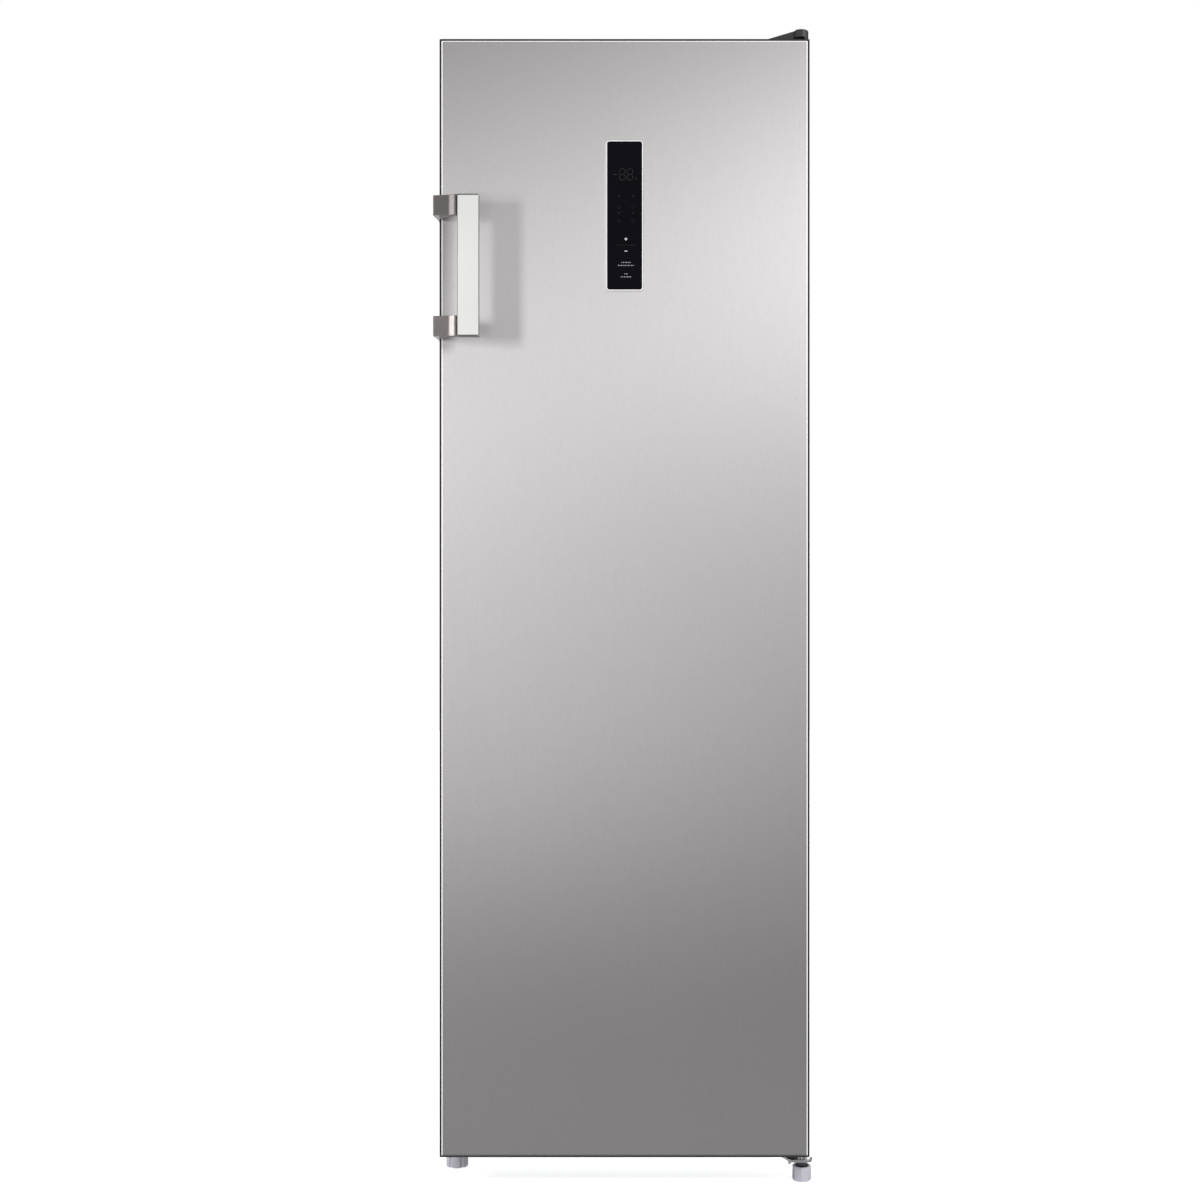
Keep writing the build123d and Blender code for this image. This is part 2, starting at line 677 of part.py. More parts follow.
fin_pitch = 24.0
fin_front = cover_front + 21.0
fin_back = inner_back - 13.5
fin_count = int((2 * inner_half - 100) / fin_pitch)
coil_passes = 4
coil_half = (fin_count - 1) * fin_pitch / 2 + 16
coil_low = cover_foot + 67.0
coil_pitch = 38.0
coil_rows = (fin_front + 16, fin_back - 16)
coil_radius = 4.0
heater_radius = 3.5
heater_z = coil_low - 14 - heater_radius
with BuildPart() as evaporator:
    turns = []
    for k in range(coil_passes):
        x = coil_half if k % 2 else -coil_half
        turns.append((x, coil_low + k * coil_pitch))
        turns.append((-x, coil_low + k * coil_pitch))
    for y in coil_rows:
        with BuildLine() as coil:
            FilletPolyline(*[(x, y, z) for x, z in turns], radius=coil_pitch / 2 - 2)
        with BuildSketch(Plane(origin=coil.line @ 0, z_dir=coil.line % 0)):
            Circle(coil_radius)
        sweep(path=coil.line)
    for k in range(fin_count):
        x = (k - (fin_count - 1) / 2) * fin_pitch
        edge = k in (0, fin_count - 1)
        block(x - 0.6, x + 0.6, fin_front, inner_back if edge else fin_back,
              coil_low - 14, coil_low + coil_pitch * (coil_passes - 1) + 14)

with BuildPart() as defrost_heater:
    with BuildLine() as element:
        FilletPolyline((-coil_half, fin_front + 20, heater_z), (coil_half, fin_front + 20, heater_z),
                       (coil_half, fin_front + 36, heater_z),
                       (-coil_half, fin_front + 36, heater_z), radius=7)
    with BuildSketch(Plane(origin=element.line @ 0, z_dir=element.line % 0)):
        Circle(heater_radius)
    sweep()

motor_front = inner_back - 25.5
shaft_radius = 2.0
motor_place = facing(fan_x, inner_back, fan_z, (0, -1, 0))
with BuildPart() as fan_motor:
    with Locations(motor_place):
        Cylinder(25.0, inner_back - motor_front,
                 align=(Align.CENTER, Align.CENTER, Align.MIN))
        Cylinder(9.0, inner_back - motor_front + 4,
                 align=(Align.CENTER, Align.CENTER, Align.MIN))
        with PolarLocations(42, 3):
            Box(40, 12, 3, align=(Align.CENTER, Align.CENTER, Align.MIN))
        Cylinder(shaft_radius + 0.05, 80, mode=Mode.SUBTRACT)

hub_front = cover_front + 23.0
hub_depth = 30.0
blade_count = 5
with BuildPart() as fan_rotor:
    with Locations(facing(fan_x, hub_front, fan_z, (0, 1, 0))):
        Cylinder(17.0, hub_depth, align=(Align.CENTER, Align.CENTER, Align.MIN))
        Cylinder(shaft_radius, inner_back - 2 - hub_front,
                 align=(Align.CENTER, Align.CENTER, Align.MIN))
    fillet(fan_rotor.faces().sort_by(Axis.Y)[0].edges(), 4)
    for k in range(blade_count):
        with BuildPart(mode=Mode.PRIVATE) as blade:
            with BuildSketch(Plane.XY.offset(15)):
                Rectangle(27, 1.6, rotation=38)
            with BuildSketch(Plane.XY.offset(fan_radius)):
                with BuildLine():
                    ThreePointArc((-20, -9), (0, 2.5), (20, 9))
                    offset(amount=0.8)
                make_face()
            loft()
        add(blade.part.rotate(Axis.Y, 360.0 * k / blade_count).move(
            Pos(fan_x, hub_front + hub_depth / 2, fan_z)))
    with Locations(facing(fan_x, hub_front, fan_z, (0, 1, 0))):
        Cylinder(fan_radius, 200, mode=Mode.INTERSECT)

with BuildPart() as interior_lamp:
    block(-70, 70, cabinet_front + 70, cabinet_front + 112, ceiling - 9, ceiling)
    fillet(interior_lamp.faces().sort_by(Axis.Z)[0].edges(), 5)

# ---------------------------------------------------------------- shelves and drawers

shelf_half = inner_half - slide_gap
shelves = []
for height in shelf_heights:
    behind_cover = height > cover_foot
    with BuildPart() as shelf:
        block(-shelf_half, shelf_half, ledge_front - 4,
              (cover_front if behind_cover else inner_back) - slide_gap,
              height - shelf_thickness / 2, height + shelf_thickness / 2)
        block(-shelf_half, shelf_half, ledge_front - 4, ledge_front - seat_gap,
              height - shelf_thickness / 2 - 1.4, height)
        fillet(shelf.faces().sort_by(Axis.Y)[0].edges().filter_by(Axis.X), 1.4)
    shelves.append(shelf)

bin_wall = 2.5
drawer_front = cabinet_front + 34.0
drawer_height = compartment - 24.0
front_thickness = 6.0


def drawer(level):
    """Food drawer: tapered bin with ribbed floor and a taller clear front with a grip lip."""
    base = floor_height if level == 0 else shelf_heights[level - 1] + shelf_thickness / 2
    if level == 0:
        depth = liner_step_front - 6 - drawer_front
    elif level >= 4:
        depth = cover_front - 12 - drawer_front
    else:
        depth = inner_back - 14 - drawer_front
    back = drawer_front + depth
    bin_half = inner_half - 20
    top = base + drawer_height - 34
    with BuildPart() as piece:
        with BuildSketch(Plane.XY.offset(top)):
            with Locations((0, (drawer_front + back) / 2)):
                RectangleRounded(2 * bin_half, depth, 12)
        extrude(amount=base - top, taper=2.5)
        with BuildSketch(Plane.XY.offset(top)):
            with Locations((0, (drawer_front + back) / 2)):
                RectangleRounded(2 * (bin_half - bin_wall), depth - 2 * bin_wall, 10)
        extrude(amount=base - top + bin_wall, taper=2.5, mode=Mode.SUBTRACT)
        block(-inner_half + 4, inner_half - 4, drawer_front - front_thickness, drawer_front + 2,
              base, base + drawer_height)
        fillet(piece.edges().filter_by(Axis.Y).group_by(SortBy.LENGTH)[0], 3)
        with BuildSketch(Plane.YZ.offset(-130)):
            with BuildLine():
                Polyline((drawer_front - front_thickness, top + 6),
                         (drawer_front - front_thickness - 12, top - 4),
                         (drawer_front - front_thickness - 12, top - 12),
                         (drawer_front - front_thickness - 9, top - 12),
                         (drawer_front - front_thickness - 9, top - 6),
                         (drawer_front - front_thickness, top + 2), close=True)
            make_face()
        extrude(amount=260)
    return piece


# ---------------------------------------------------------------- door

handle_width = 34.8
handle_length = 224.6
handle_left = -half + 32.2
handle_right = handle_left + handle_width
handle_high = door_top - 259.4
handle_low = handle_high - handle_length
handle_reach = 45.0
bar_thickness = 10.0
end_plate = 2.0
bracket_height = 32.0
leg_thickness = 1.6
leg_back = door_front + 42.0
arm_front = door_front - 34.5
bar_gap = 0.8
lower_arm_lift = 1.2

handle_screw_places = [
    facing(-half - leg_thickness, door_front + y, z, (-1, 0, 0))
    for z in (handle_low + bracket_height / 2, handle_high - bracket_height / 2)
    for y in (22.0, 34.0)
]
handle_screws = screws(handle_screw_places, 3.6, 1.9, 16.0, 1.8)

with BuildPart() as door_skin:
    with BuildSketch(Plane.XY.offset(door_bottom + cap_lip_bottom)):
        with BuildLine():
            FilletPolyline((-half + 12, door_back - 2), (-half, door_back - 2),
                           (-half, door_front), (half, door_front), (half, door_back - 2),
                           (half - 12, door_back - 2), radius=door_edge_radius)
            offset(amount=sheet, side=Side.LEFT)
        make_face()
    extrude(amount=door_top - cap_lip_top - door_bottom - cap_lip_bottom)

display_half = 28.25
display_height = 238.4
display_high = door_top - 164.3
display_low = display_high - display_height
rim = 1.2
display_depth = 14.0
display_middle = display_high - display_height / 2


def display_cut(grow, start, depth, mode=Mode.SUBTRACT):
    """Upright rounded rectangle of the display, from a depth behind the door's front."""
    with BuildSketch(Plane.XZ.offset(-door_front - start)) as outline:
        with Locations((0, display_middle)):
            RectangleRounded(2 * (display_half + grow), display_height + 2 * grow, 4 + grow)
    extrude(outline.sketch, amount=-depth, mode=mode)


with door_skin:
    display_cut(rim, -1.0, 6.0)
    add(handle_screws.part, mode=Mode.SUBTRACT)


def cap(z_face, z_skin, z_plug, boss_depth):
    """Door end cap: a lip with the door's outline, a skirt inside the skin and a hinge boss."""
    low = min(z_face, z_skin)
    with BuildPart() as piece:
        with BuildSketch(Plane.XY.offset(low)):
            with Locations((0, (door_front + door_back) / 2)):
                RectangleRounded(cabinet_width, door_depth, door_edge_radius)
        extrude(amount=abs(z_face - z_skin))
        with BuildSketch(Plane.XY.offset(z_skin)):
            with Locations((0, (door_front + door_back) / 2)):
                Rectangle(cabinet_width - 2 * sheet - 6, door_depth - 2 * sheet - 6)
                Rectangle(cabinet_width - 2 * sheet - 10, door_depth - 2 * sheet - 10,
                          mode=Mode.SUBTRACT)
            with Locations((hinge_x - 3.5, hinge_y)):
                Rectangle(18, 28)
        extrude(amount=z_plug - z_skin)
        with Locations((hinge_x, hinge_y, z_face)):
            Cylinder(pin_radius + pin_gap, 2 * boss_depth, mode=Mode.SUBTRACT)
    return piece


plug = 22.0
with BuildPart() as door_top_cap:
    add(cap(door_top, door_top - cap_lip_top, door_top - plug, pin_depth + 1).part)
with BuildPart() as door_bottom_cap:
    add(cap(door_bottom, door_bottom + cap_lip_bottom, door_bottom + plug, pin_depth + 1).part)

bulge_half = inner_half - 23.5
bulge_low = floor_height + 28.0
bulge_high = ceiling - 23.0
bulge_depth = 22.0
seal_inset = 16.5
seal_low = beam_top - 23.0
seal_high = cabinet_top - front_flange + 18.0


def bulge(shrink, depth):
    """Raised field of the inner door, with drafted sides."""
    with BuildSketch(Plane.XZ.offset(-door_back)) as field:
        with Locations((0, (bulge_low + bulge_high) / 2)):
            RectangleRounded(2 * (bulge_half - shrink), bulge_high - bulge_low - 2 * shrink, 30)
    extrude(field.sketch, amount=-depth, taper=20)


with BuildPart() as door_liner:
    block(-half, half, door_back - 2, door_back,
          door_bottom + cap_lip_bottom, door_top - cap_lip_top)
    fillet(door_liner.edges().filter_by(Axis.Z), 0.9)
    bulge(0, bulge_depth)
    with BuildSketch(Plane.XZ.offset(-door_back - bulge_depth)):
        with Locations((0, (bulge_low + bulge_high) / 2)):
            RectangleRounded(2 * bulge_half - 90, bulge_high - bulge_low - 90, 24)
    extrude(amount=12, taper=20, mode=Mode.SUBTRACT)

with BuildPart() as door_foam:
    block(-half + sheet, half - sheet, door_front + sheet, door_back - 2 - sheet,
          door_bottom + cap_lip_bottom, door_top - cap_lip_top)
    fillet(door_foam.edges().filter_by(Axis.Z), door_edge_radius)
    block(-half + 12, half - 12, door_back - 10, door_back - 2,
          door_bottom + cap_lip_bottom, door_top - cap_lip_top)
    add(door_top_cap.part, mode=Mode.SUBTRACT)
    add(door_bottom_cap.part, mode=Mode.SUBTRACT)
    for z in (door_top, door_bottom):
        with Locations((hinge_x, hinge_y, z)):
            Cylinder(pin_radius + pin_gap, 2 * plug, mode=Mode.SUBTRACT)
    display_cut(rim, 0.0, display_depth)
    add(handle_screws.part, mode=Mode.SUBTRACT)

with BuildPart() as display_bezel:
    display_cut(rim, -0.6, display_depth + 0.6, Mode.ADD)
    display_cut(0.0, -0.6, display_depth - 0.6)
with BuildPart() as display_glass:
    display_cut(-0.15, -0.4, 3.4, Mode.ADD)
    fillet(display_glass.faces().sort_by(Axis.Y)[0].edges(), 0.4)
with BuildPart() as display_board:
    block(-display_half + 4, display_half - 4, door_front + 8.0, door_front + 9.6,
          display_low + 6, display_high - 6)
    for z in (display_high - 35, display_high - 85):
        with Locations((0, door_front + 5.5, z)):
            with GridLocations(30, 0, 2, 1):
                Box(16, 5, 24)
    block(-display_half + 8, display_half - 8, door_front + 3.0, door_front + 8.0,
          display_low + 60, display_low + 84)
    block(-16, 16, door_front + 9.6, door_front + display_depth - 1.2,
          display_low + 10, display_low + 40)

seal_x = half - seal_inset - 9.0
with BuildPart() as door_gasket:
    with BuildLine() as ring:
        Polyline((-seal_x, door_back, seal_low), (seal_x, door_back, seal_low),
                 (seal_x, door_back, seal_high), (-seal_x, door_back, seal_high), close=True)
    with BuildSketch(Plane(origin=(0, door_back, seal_low), x_dir=(0, 1, 0), z_dir=(1, 0, 0))):
        with BuildLine():
            Polyline((0, -9), (2.2, -9), (3.4, -5.5), (5.2, -7.2), (7.0, -5.0), (7.6, -7.5),
                     (11.2, -7.5), (seal_gap - seal_gap / 40, -6.0),
                     (seal_gap - seal_gap / 40, 6.0), (11.2, 7.5), (7.6, 7.5), (7.0, 5.0),
                     (5.2, 7.2), (3.4, 5.5), (2.2, 9), (0, 9), close=True)
        make_face()
    sweep(path=ring.line, transition=Transition.RIGHT)

bar_front = door_front - handle_reach
bar_back = bar_front + bar_thickness
with BuildPart() as handle_bar:
    with BuildSketch(Plane.XY.offset(handle_low + end_plate)):
        with Locations(((handle_left + handle_right) / 2, (bar_front + bar_back) / 2)):
            RectangleRounded(handle_right - handle_left, bar_thickness, 1.6)
    extrude(amount=handle_high - handle_low - 2 * end_plate)


def handle_bracket(z_low, plate_low):
    """Arm that sweeps from beside the bar round the door's edge to a leg on the door's side."""
    with BuildPart() as piece:
        with BuildSketch(Plane.XY.offset(z_low)):
            with BuildLine():
                front = Polyline((-half - leg_thickness, leg_back),
                                 (-half - leg_thickness, door_front + 3),
                                 (-half - 6.6, arm_front + 2), (-half - 5.2, arm_front),
                                 (handle_left - 15, bar_front + 7.3))
                rise = Spline(front @ 1, (handle_left - 9.6, bar_front + 5.3),
                              (handle_left - 5.2, bar_front + 3.1),
                              (handle_left - bar_gap, bar_front + 2.4),
                              tangents=(front % 1, (1, 0)))
                under = Polyline(rise @ 1, (handle_left - bar_gap, bar_back),
                                 (handle_right - 4, bar_back), (handle_right - 4, bar_back + 3.5),
                                 (handle_left + 3.3, bar_back + 3.5),
                                 (handle_left - 6.7, bar_back + 6))
                hollow = ThreePointArc(under @ 1, (-half + 10, door_front - 17.5),
                                       (-half + 0.4, door_front - 1.2))
                Polyline(hollow @ 1, (-half, door_front - 0.2), (-half, leg_back), front @ 0)
            make_face()
        extrude(amount=bracket_height)
        with BuildSketch(Plane.XY.offset(plate_low)):
            with Locations(((handle_left + handle_right) / 2, (bar_front + bar_back + 3.5) / 2)):
                RectangleRounded(handle_right - handle_left, bar_thickness + 3.5, 1.6)
        extrude(amount=end_plate)
        add(handle_screws.part, mode=Mode.SUBTRACT)
    return piece


with BuildPart() as handle_bracket_top:
    add(handle_bracket(handle_high - bracket_height, handle_high - end_plate).part)
with BuildPart() as handle_bracket_bottom:
    add(handle_bracket(handle_low + lower_arm_lift, handle_low).part)

# ---------------------------------------------------------------- hand-over

for level in range(drawer_count):
    tray = drawer(level)
    tray.part.label = f"drawer_{level + 1}"
    export_step(tray.part, f"parts/drawer_{level + 1}.step")

for level, shelf in enumerate(shelves):
    shelf.part.label = f"shelf_{level + 1}"
    export_step(shelf.part, f"parts/shelf_{level + 1}.step")

side_panel_left.part.label = "side_panel_left"
export_step(side_panel_left.part, "parts/side_panel_left.step")
side_panel_right.part.label = "side_panel_right"
export_step(side_panel_right.part, "parts/side_panel_right.step")
top_panel.part.label = "top_panel"
export_step(top_panel.part, "parts/top_panel.step")
back_panel.part.label = "back_panel"
export_step(back_panel.part, "parts/back_panel.step")
bottom_panel.part.label = "bottom_panel"
export_step(bottom_panel.part, "parts/bottom_panel.step")
front_beam.part.label = "front_beam"
export_step(front_beam.part, "parts/front_beam.step")
base_frame.part.label = "base_frame"
export_step(base_frame.part, "parts/base_frame.step")
cabinet_foam.part.label = "cabinet_foam"
export_step(cabinet_foam.part, "parts/cabinet_foam.step")
inner_liner.part.label = "inner_liner"
export_step(inner_liner.part, "parts/inner_liner.step")
roller_axles.part.label = "roller_axles"
export_step(roller_axles.part, "parts/roller_axles.step")
roller_left.part.label = "roller_left"
export_step(roller_left.part, "parts/roller_left.step")
roller_right.part.label = "roller_right"
export_step(roller_right.part, "parts/roller_right.step")
foot_pad_left.part.label = "foot_pad_left"
export_step(foot_pad_left.part, "parts/foot_pad_left.step")
foot_pad_right.part.label = "foot_pad_right"
export_step(foot_pad_right.part, "parts/foot_pad_right.step")
foot_stud_left.part.label = "foot_stud_left"
export_step(foot_stud_left.part, "parts/foot_stud_left.step")
foot_stud_right.part.label = "foot_stud_right"
export_step(foot_stud_right.part, "parts/foot_stud_right.step")
bottom_hinge.part.label = "bottom_hinge"
export_step(bottom_hinge.part, "parts/bottom_hinge.step")
bottom_hinge_screws.part.label = "bottom_hinge_screws"
export_step(bottom_hinge_screws.part, "parts/bottom_hinge_screws.step")
top_hinge.part.label = "top_hinge"
export_step(top_hinge.part, "parts/top_hinge.step")
top_hinge_screws.part.label = "top_hinge_screws"
export_step(top_hinge_screws.part, "parts/top_hinge_screws.step")
hinge_cover.part.label = "hinge_cover"
export_step(hinge_cover.part, "parts/hinge_cover.step")
compressor.part.label = "compressor"
export_step(compressor.part, "parts/compressor.step")
compressor_cover.part.label = "compressor_cover"
export_step(compressor_cover.part, "parts/compressor_cover.step")
grommets.part.label = "grommets"
export_step(grommets.part, "parts/grommets.step")
drip_tray.part.label = "drip_tray"
export_step(drip_tray.part, "parts/drip_tray.step")
filter_drier.part.label = "filter_drier"
export_step(filter_drier.part, "parts/filter_drier.step")
refrigerant_tube.part.label = "refrigerant_tube"
export_step(refrigerant_tube.part, "parts/refrigerant_tube.step")
rear_cover.part.label = "rear_cover"
export_step(rear_cover.part, "parts/rear_cover.step")
rear_cover_screws.part.label = "rear_cover_screws"
export_step(rear_cover_screws.part, "parts/rear_cover_screws.step")
cord_gland.part.label = "cord_gland"
export_step(cord_gland.part, "parts/cord_gland.step")
evaporator.part.label = "evaporator"
export_step(evaporator.part, "parts/evaporator.step")
defrost_heater.part.label = "defrost_heater"
export_step(defrost_heater.part, "parts/defrost_heater.step")
evaporator_cover.part.label = "evaporator_cover"
export_step(evaporator_cover.part, "parts/evaporator_cover.step")
fan_motor.part.label = "fan_motor"
export_step(fan_motor.part, "parts/fan_motor.step")
fan_rotor.part.label = "fan_rotor"
export_step(fan_rotor.part, "parts/fan_rotor.step")
interior_lamp.part.label = "interior_lamp"
export_step(interior_lamp.part, "parts/interior_lamp.step")
door_skin.part.label = "door_skin"
export_step(door_skin.part, "parts/door_skin.step")
door_top_cap.part.label = "door_top_cap"
export_step(door_top_cap.part, "parts/door_top_cap.step")
door_bottom_cap.part.label = "door_bottom_cap"
export_step(door_bottom_cap.part, "parts/door_bottom_cap.step")
door_foam.part.label = "door_foam"
export_step(door_foam.part, "parts/door_foam.step")
door_liner.part.label = "door_liner"
export_step(door_liner.part, "parts/door_liner.step")
door_gasket.part.label = "door_gasket"
export_step(door_gasket.part, "parts/door_gasket.step")
display_bezel.part.label = "display_bezel"
export_step(display_bezel.part, "parts/display_bezel.step")
display_glass.part.label = "display_glass"
export_step(display_glass.part, "parts/display_glass.step")
display_board.part.label = "display_board"
export_step(display_board.part, "parts/display_board.step")
handle_bar.part.label = "handle_bar"
export_step(handle_bar.part, "parts/handle_bar.step")
handle_bracket_top.part.label = "handle_bracket_top"
export_step(handle_bracket_top.part, "parts/handle_bracket_top.step")
handle_bracket_bottom.part.label = "handle_bracket_bottom"
export_step(handle_bracket_bottom.part, "parts/handle_bracket_bottom.step")
handle_screws.part.label = "handle_screws"
export_step(handle_screws.part, "parts/handle_screws.step")
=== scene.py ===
"""Looks of an upright freezer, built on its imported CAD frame. Metres, the door faces -Y."""

import math

import bmesh
import bpy
from bpy.props import FloatProperty, FloatVectorProperty, IntProperty, PointerProperty
from mathutils import Matrix, Vector


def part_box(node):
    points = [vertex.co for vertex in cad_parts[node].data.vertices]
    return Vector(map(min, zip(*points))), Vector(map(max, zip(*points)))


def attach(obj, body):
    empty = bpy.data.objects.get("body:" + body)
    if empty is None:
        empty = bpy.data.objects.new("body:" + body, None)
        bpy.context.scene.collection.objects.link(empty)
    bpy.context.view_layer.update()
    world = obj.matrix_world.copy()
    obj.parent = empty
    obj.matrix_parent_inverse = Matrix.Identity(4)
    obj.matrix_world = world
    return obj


bl_info = {
    "name": "Upright Freezer Looks",
    "version": (1, 0, 0),
    "blender": (4, 5, 0),
    "location": "View3D > Sidebar > Freezer",
    "description": "Finishes, display marks, fittings and studio for the packed upright freezer",
    "category": "Object",
}

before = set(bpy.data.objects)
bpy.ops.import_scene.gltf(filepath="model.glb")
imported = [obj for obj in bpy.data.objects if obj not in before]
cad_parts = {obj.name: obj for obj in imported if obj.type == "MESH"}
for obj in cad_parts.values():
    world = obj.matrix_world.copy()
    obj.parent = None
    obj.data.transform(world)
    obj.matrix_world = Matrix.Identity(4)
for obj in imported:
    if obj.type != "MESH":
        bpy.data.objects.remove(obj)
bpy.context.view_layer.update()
door_low, door_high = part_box("door_skin")
glass_low, glass_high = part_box("display_glass")

WHITE = (1.0, 1.0, 1.0, 1.0)
DUST = (0.60, 0.57, 0.52, 1.0)
DUST_DULLS = 0.5                # roughness that full dust adds
RELIEF_DEPTH = 0.4              # depth of a pattern's relief, as a share of its feature size

# Lamps: name, place and aim with y counted from the door's front, width, height, power setting.
LAMPS = (
    ("key_softbox", (-1.98, -1.21, 1.46), (-0.05, 0.0, 1.30), 0.24, 0.70, "key_power"),
    ("low_softbox", (-1.3, -3.1, 0.50), (-0.05, 0.0, 0.80), 0.8, 0.8, "low_power"),
    ("fill_softbox", (2.5, -2.0, 2.20), (0.1, 0.0, 1.25), 0.8, 0.8, "fill_power"),
)

# Cards that only reflections see: how far they reach, and the grey of each.
CARD_REACH = 4.2
FLAG_TOP = 5.0
FLAG_OPENING = 40.0             # degrees left open behind the freezer
FLAG_STEPS = 40
FLAG_LEVEL = 0.06
CLOTHS = (("grey_cloth", -0.20, -1.0, 0.34), ("dim_cloth", -1.0, -CARD_REACH, 0.09))
CLOTH_LIFT = 0.002

FLOOR_REACH = 9.0
FLOOR_CELLS = 24
FLOOR_DROP = 0.0002             # the floor lies just under the feet
FLOOR_GLOW = 0.72               # added for the camera and for reflections, so that it shows white

# Door sheet: widths of the painted fold and of fold and bright line, at the sides and on top. The
# dark fold is dark paint that also stands in for the dark reflection on the fold's outer curve;
# the bright line is a painted highlight.
FOLD_PAINT_AND_SHADE = (0.0038, 0.0018)
FOLD_HIGHLIGHT = (0.0051, 0.0027)
FOLD_BLEND = 0.0004
# Painted shade: the bar's dark edge line stands in for the dark reflection on its rounded edges.
BAR_EDGE_SHADE = (0.0014, 0.0009)     # the bar's dark line begins and is full this far from the edge

# Marks lie on the glass: their front and thickness.
MARK_FRONT = glass_low.y - 0.00008
MARK_DEPTH = 0.00005


# ---------------------------------------------------------------- sizes and colours

def colour_property(name, description, default):
    return FloatVectorProperty(name=name, description=description, default=default,
                               size=len(default), min=0.0, max=1.0, subtype="COLOR")


def length_property(name, description, default):
    return FloatProperty(name=name, description=description, default=default,
                         subtype="DISTANCE", unit="LENGTH")


def power_property(name, description, default):
    return FloatProperty(name=name, description=description, default=default, min=0.0,
                         unit="POWER")


class FreezerStudio(bpy.types.PropertyGroup):
    floor: colour_property("Floor", "Colour of the pale studio floor", (0.9, 0.9, 0.9))
    ambient: FloatProperty(name="Ambient", description="Level of the soft light from all round",
                           default=0.65, min=0.0, max=2.0)
    key_power: power_property("Key Power", "Watts of the small softbox on the left", 20.0)
    low_power: power_property("Low Power", "Watts of the low softbox in front", 23.0)
    fill_power: power_property("Fill Power", "Watts of the high softbox on the right", 66.0)
    camera_distance: length_property("Camera Distance", "From the camera to the door's front",
                                     2.65)
    camera_height: length_property("Camera Height", "Height of the camera above the floor", 0.948)
    camera_side: length_property("Camera Side", "Camera's place across the door", -0.0395)
    lens: FloatProperty(name="Lens", description="Focal length on a 36 mm sensor, in millimetres",
                        default=49.5, min=10.0, max=200.0)


class FreezerFinishes(bpy.types.PropertyGroup):
    steel: colour_property("Door Steel", "Brushed steel of the door", (0.605, 0.585, 0.590))
    # Dark paint on the door's folds, which also stands in for the dark reflection along the fold's
    # outer curve.
    door_side: colour_property("Door Sides", "Dark paint on the folded sides of the door",
                               (0.014, 0.0135, 0.0145))
    # Painted highlight: the bright line stands in for the light caught where the door sheet's fold
    # begins.
    door_fold_highlight: colour_property("Door Trim", "Bright line along the folds of the door sheet",
                               (0.93, 0.93, 0.93))
    paint: colour_property("Cabinet Paint", "Silver grey paint of the cabinet",
                           (0.42, 0.42, 0.425))
    zinc: colour_property("Zinc Coat", "Zinc on the back, floor and base", (0.58, 0.60, 0.62))
    foam: colour_property("Foam", "Cream foam between the sheets", (0.83, 0.74, 0.50))
    liner: colour_property("Liner", "White plastic of the food space", (0.86, 0.87, 0.88))
    drawers: colour_property("Drawers", "Tint of the clear drawers", (0.88, 0.93, 0.97))
    shelves: colour_property("Shelves", "Tint of the glass shelves", (0.80, 0.93, 0.89))
    copper: colour_property("Copper", "Tubes and drier of the cooling circuit",
                            (0.74, 0.36, 0.22))
    bar: colour_property("Handle Bar", "Satin aluminium of the bar", (0.87, 0.87, 0.86))
    # Painted shade: this dark line stands in for the dark reflection on the bar's rounded edges.
    bar_edge_shade: colour_property("Handle Bar Edge", "Dark line along the bar's edges",
                              (0.10, 0.095, 0.095))
    bracket: colour_property("Handle Brackets", "Warm grey satin metal", (0.30, 0.278, 0.270))
    feet: colour_property("Feet", "Lavender grey plastic of the feet", (0.46, 0.45, 0.50))
    grain_width: length_property("Grain Width", "Width of one brushed line", 0.0011)


class FreezerDisplay(bpy.types.PropertyGroup):
    mark: colour_property("Key Mark", "White of the printed plus and minus", (0.60, 0.60, 0.63))
    label: colour_property("Label Mark", "Grey of the small printed labels", (0.28, 0.275, 0.32))
    unlit: colour_property("Unlit Segment", "Grey of a segment that is off",
                           (0.0092, 0.0088, 0.0108))
    digit_height: length_property("Digit Height", "Height of the temperature digits", 0.0192)
    digit_width: length_property("Digit Width", "Width of one digit", 0.0105)
    digit_pitch: length_property("Digit Pitch", "Distance between the two digits", 0.0123)
    digits_side: length_property("Digits Side", "Middle of the two digits across the door",
                                 0.00245)
    stroke: length_property("Stroke", "Thickness of a segment", 0.0013)
    digits_drop: length_property("Digits Drop", "From the glass's top to the digits' middle",
                                 0.0532)
    plus_drop: length_property("Plus Drop", "From the glass's top to the plus key", 0.1568)
    key_pitch: length_property("Key Pitch", "Distance between the plus and minus keys", 0.0195)
    keys_side: length_property("Keys Side", "Middle of the keys across the door", 0.0021)
    key_size: length_property("Key Size", "Size of the plus and minus marks", 0.0050)


class FreezerFittings(bpy.types.PropertyGroup):
    thread_pitch: length_property("Thread Pitch", "Pitch of the foot studs' thread", 0.00125)
    wire: length_property("Wire", "Diameter of the compressor's wires", 0.0026)
    wire_count: IntProperty(name="Wires", description="Wires from the relay to the cord gland",
                            default=3, min=1, max=6)


# ---------------------------------------------------------------- shared node groups

def new_group(name, inputs, outputs):
    """An empty shader group with its sockets, and its input and output nodes."""
    tree = bpy.data.node_groups.new(name, "ShaderNodeTree")
    for title, kind, value in inputs:
        socket = tree.interface.new_socket(name=title, in_out="INPUT",
                                           socket_type="NodeSocket" + kind)
        if value is not None:
            socket.default_value = value
    for title, kind in outputs:
        tree.interface.new_socket(name=title, in_out="OUTPUT", socket_type="NodeSocket" + kind)
    return tree, tree.nodes.new("NodeGroupInput"), tree.nodes.new("NodeGroupOutput")


def feed(tree, value, socket):
    """Links a socket, or sets a plain value."""
    if isinstance(value, bpy.types.NodeSocket):
        tree.links.new(value, socket)
    else:
        socket.default_value = value


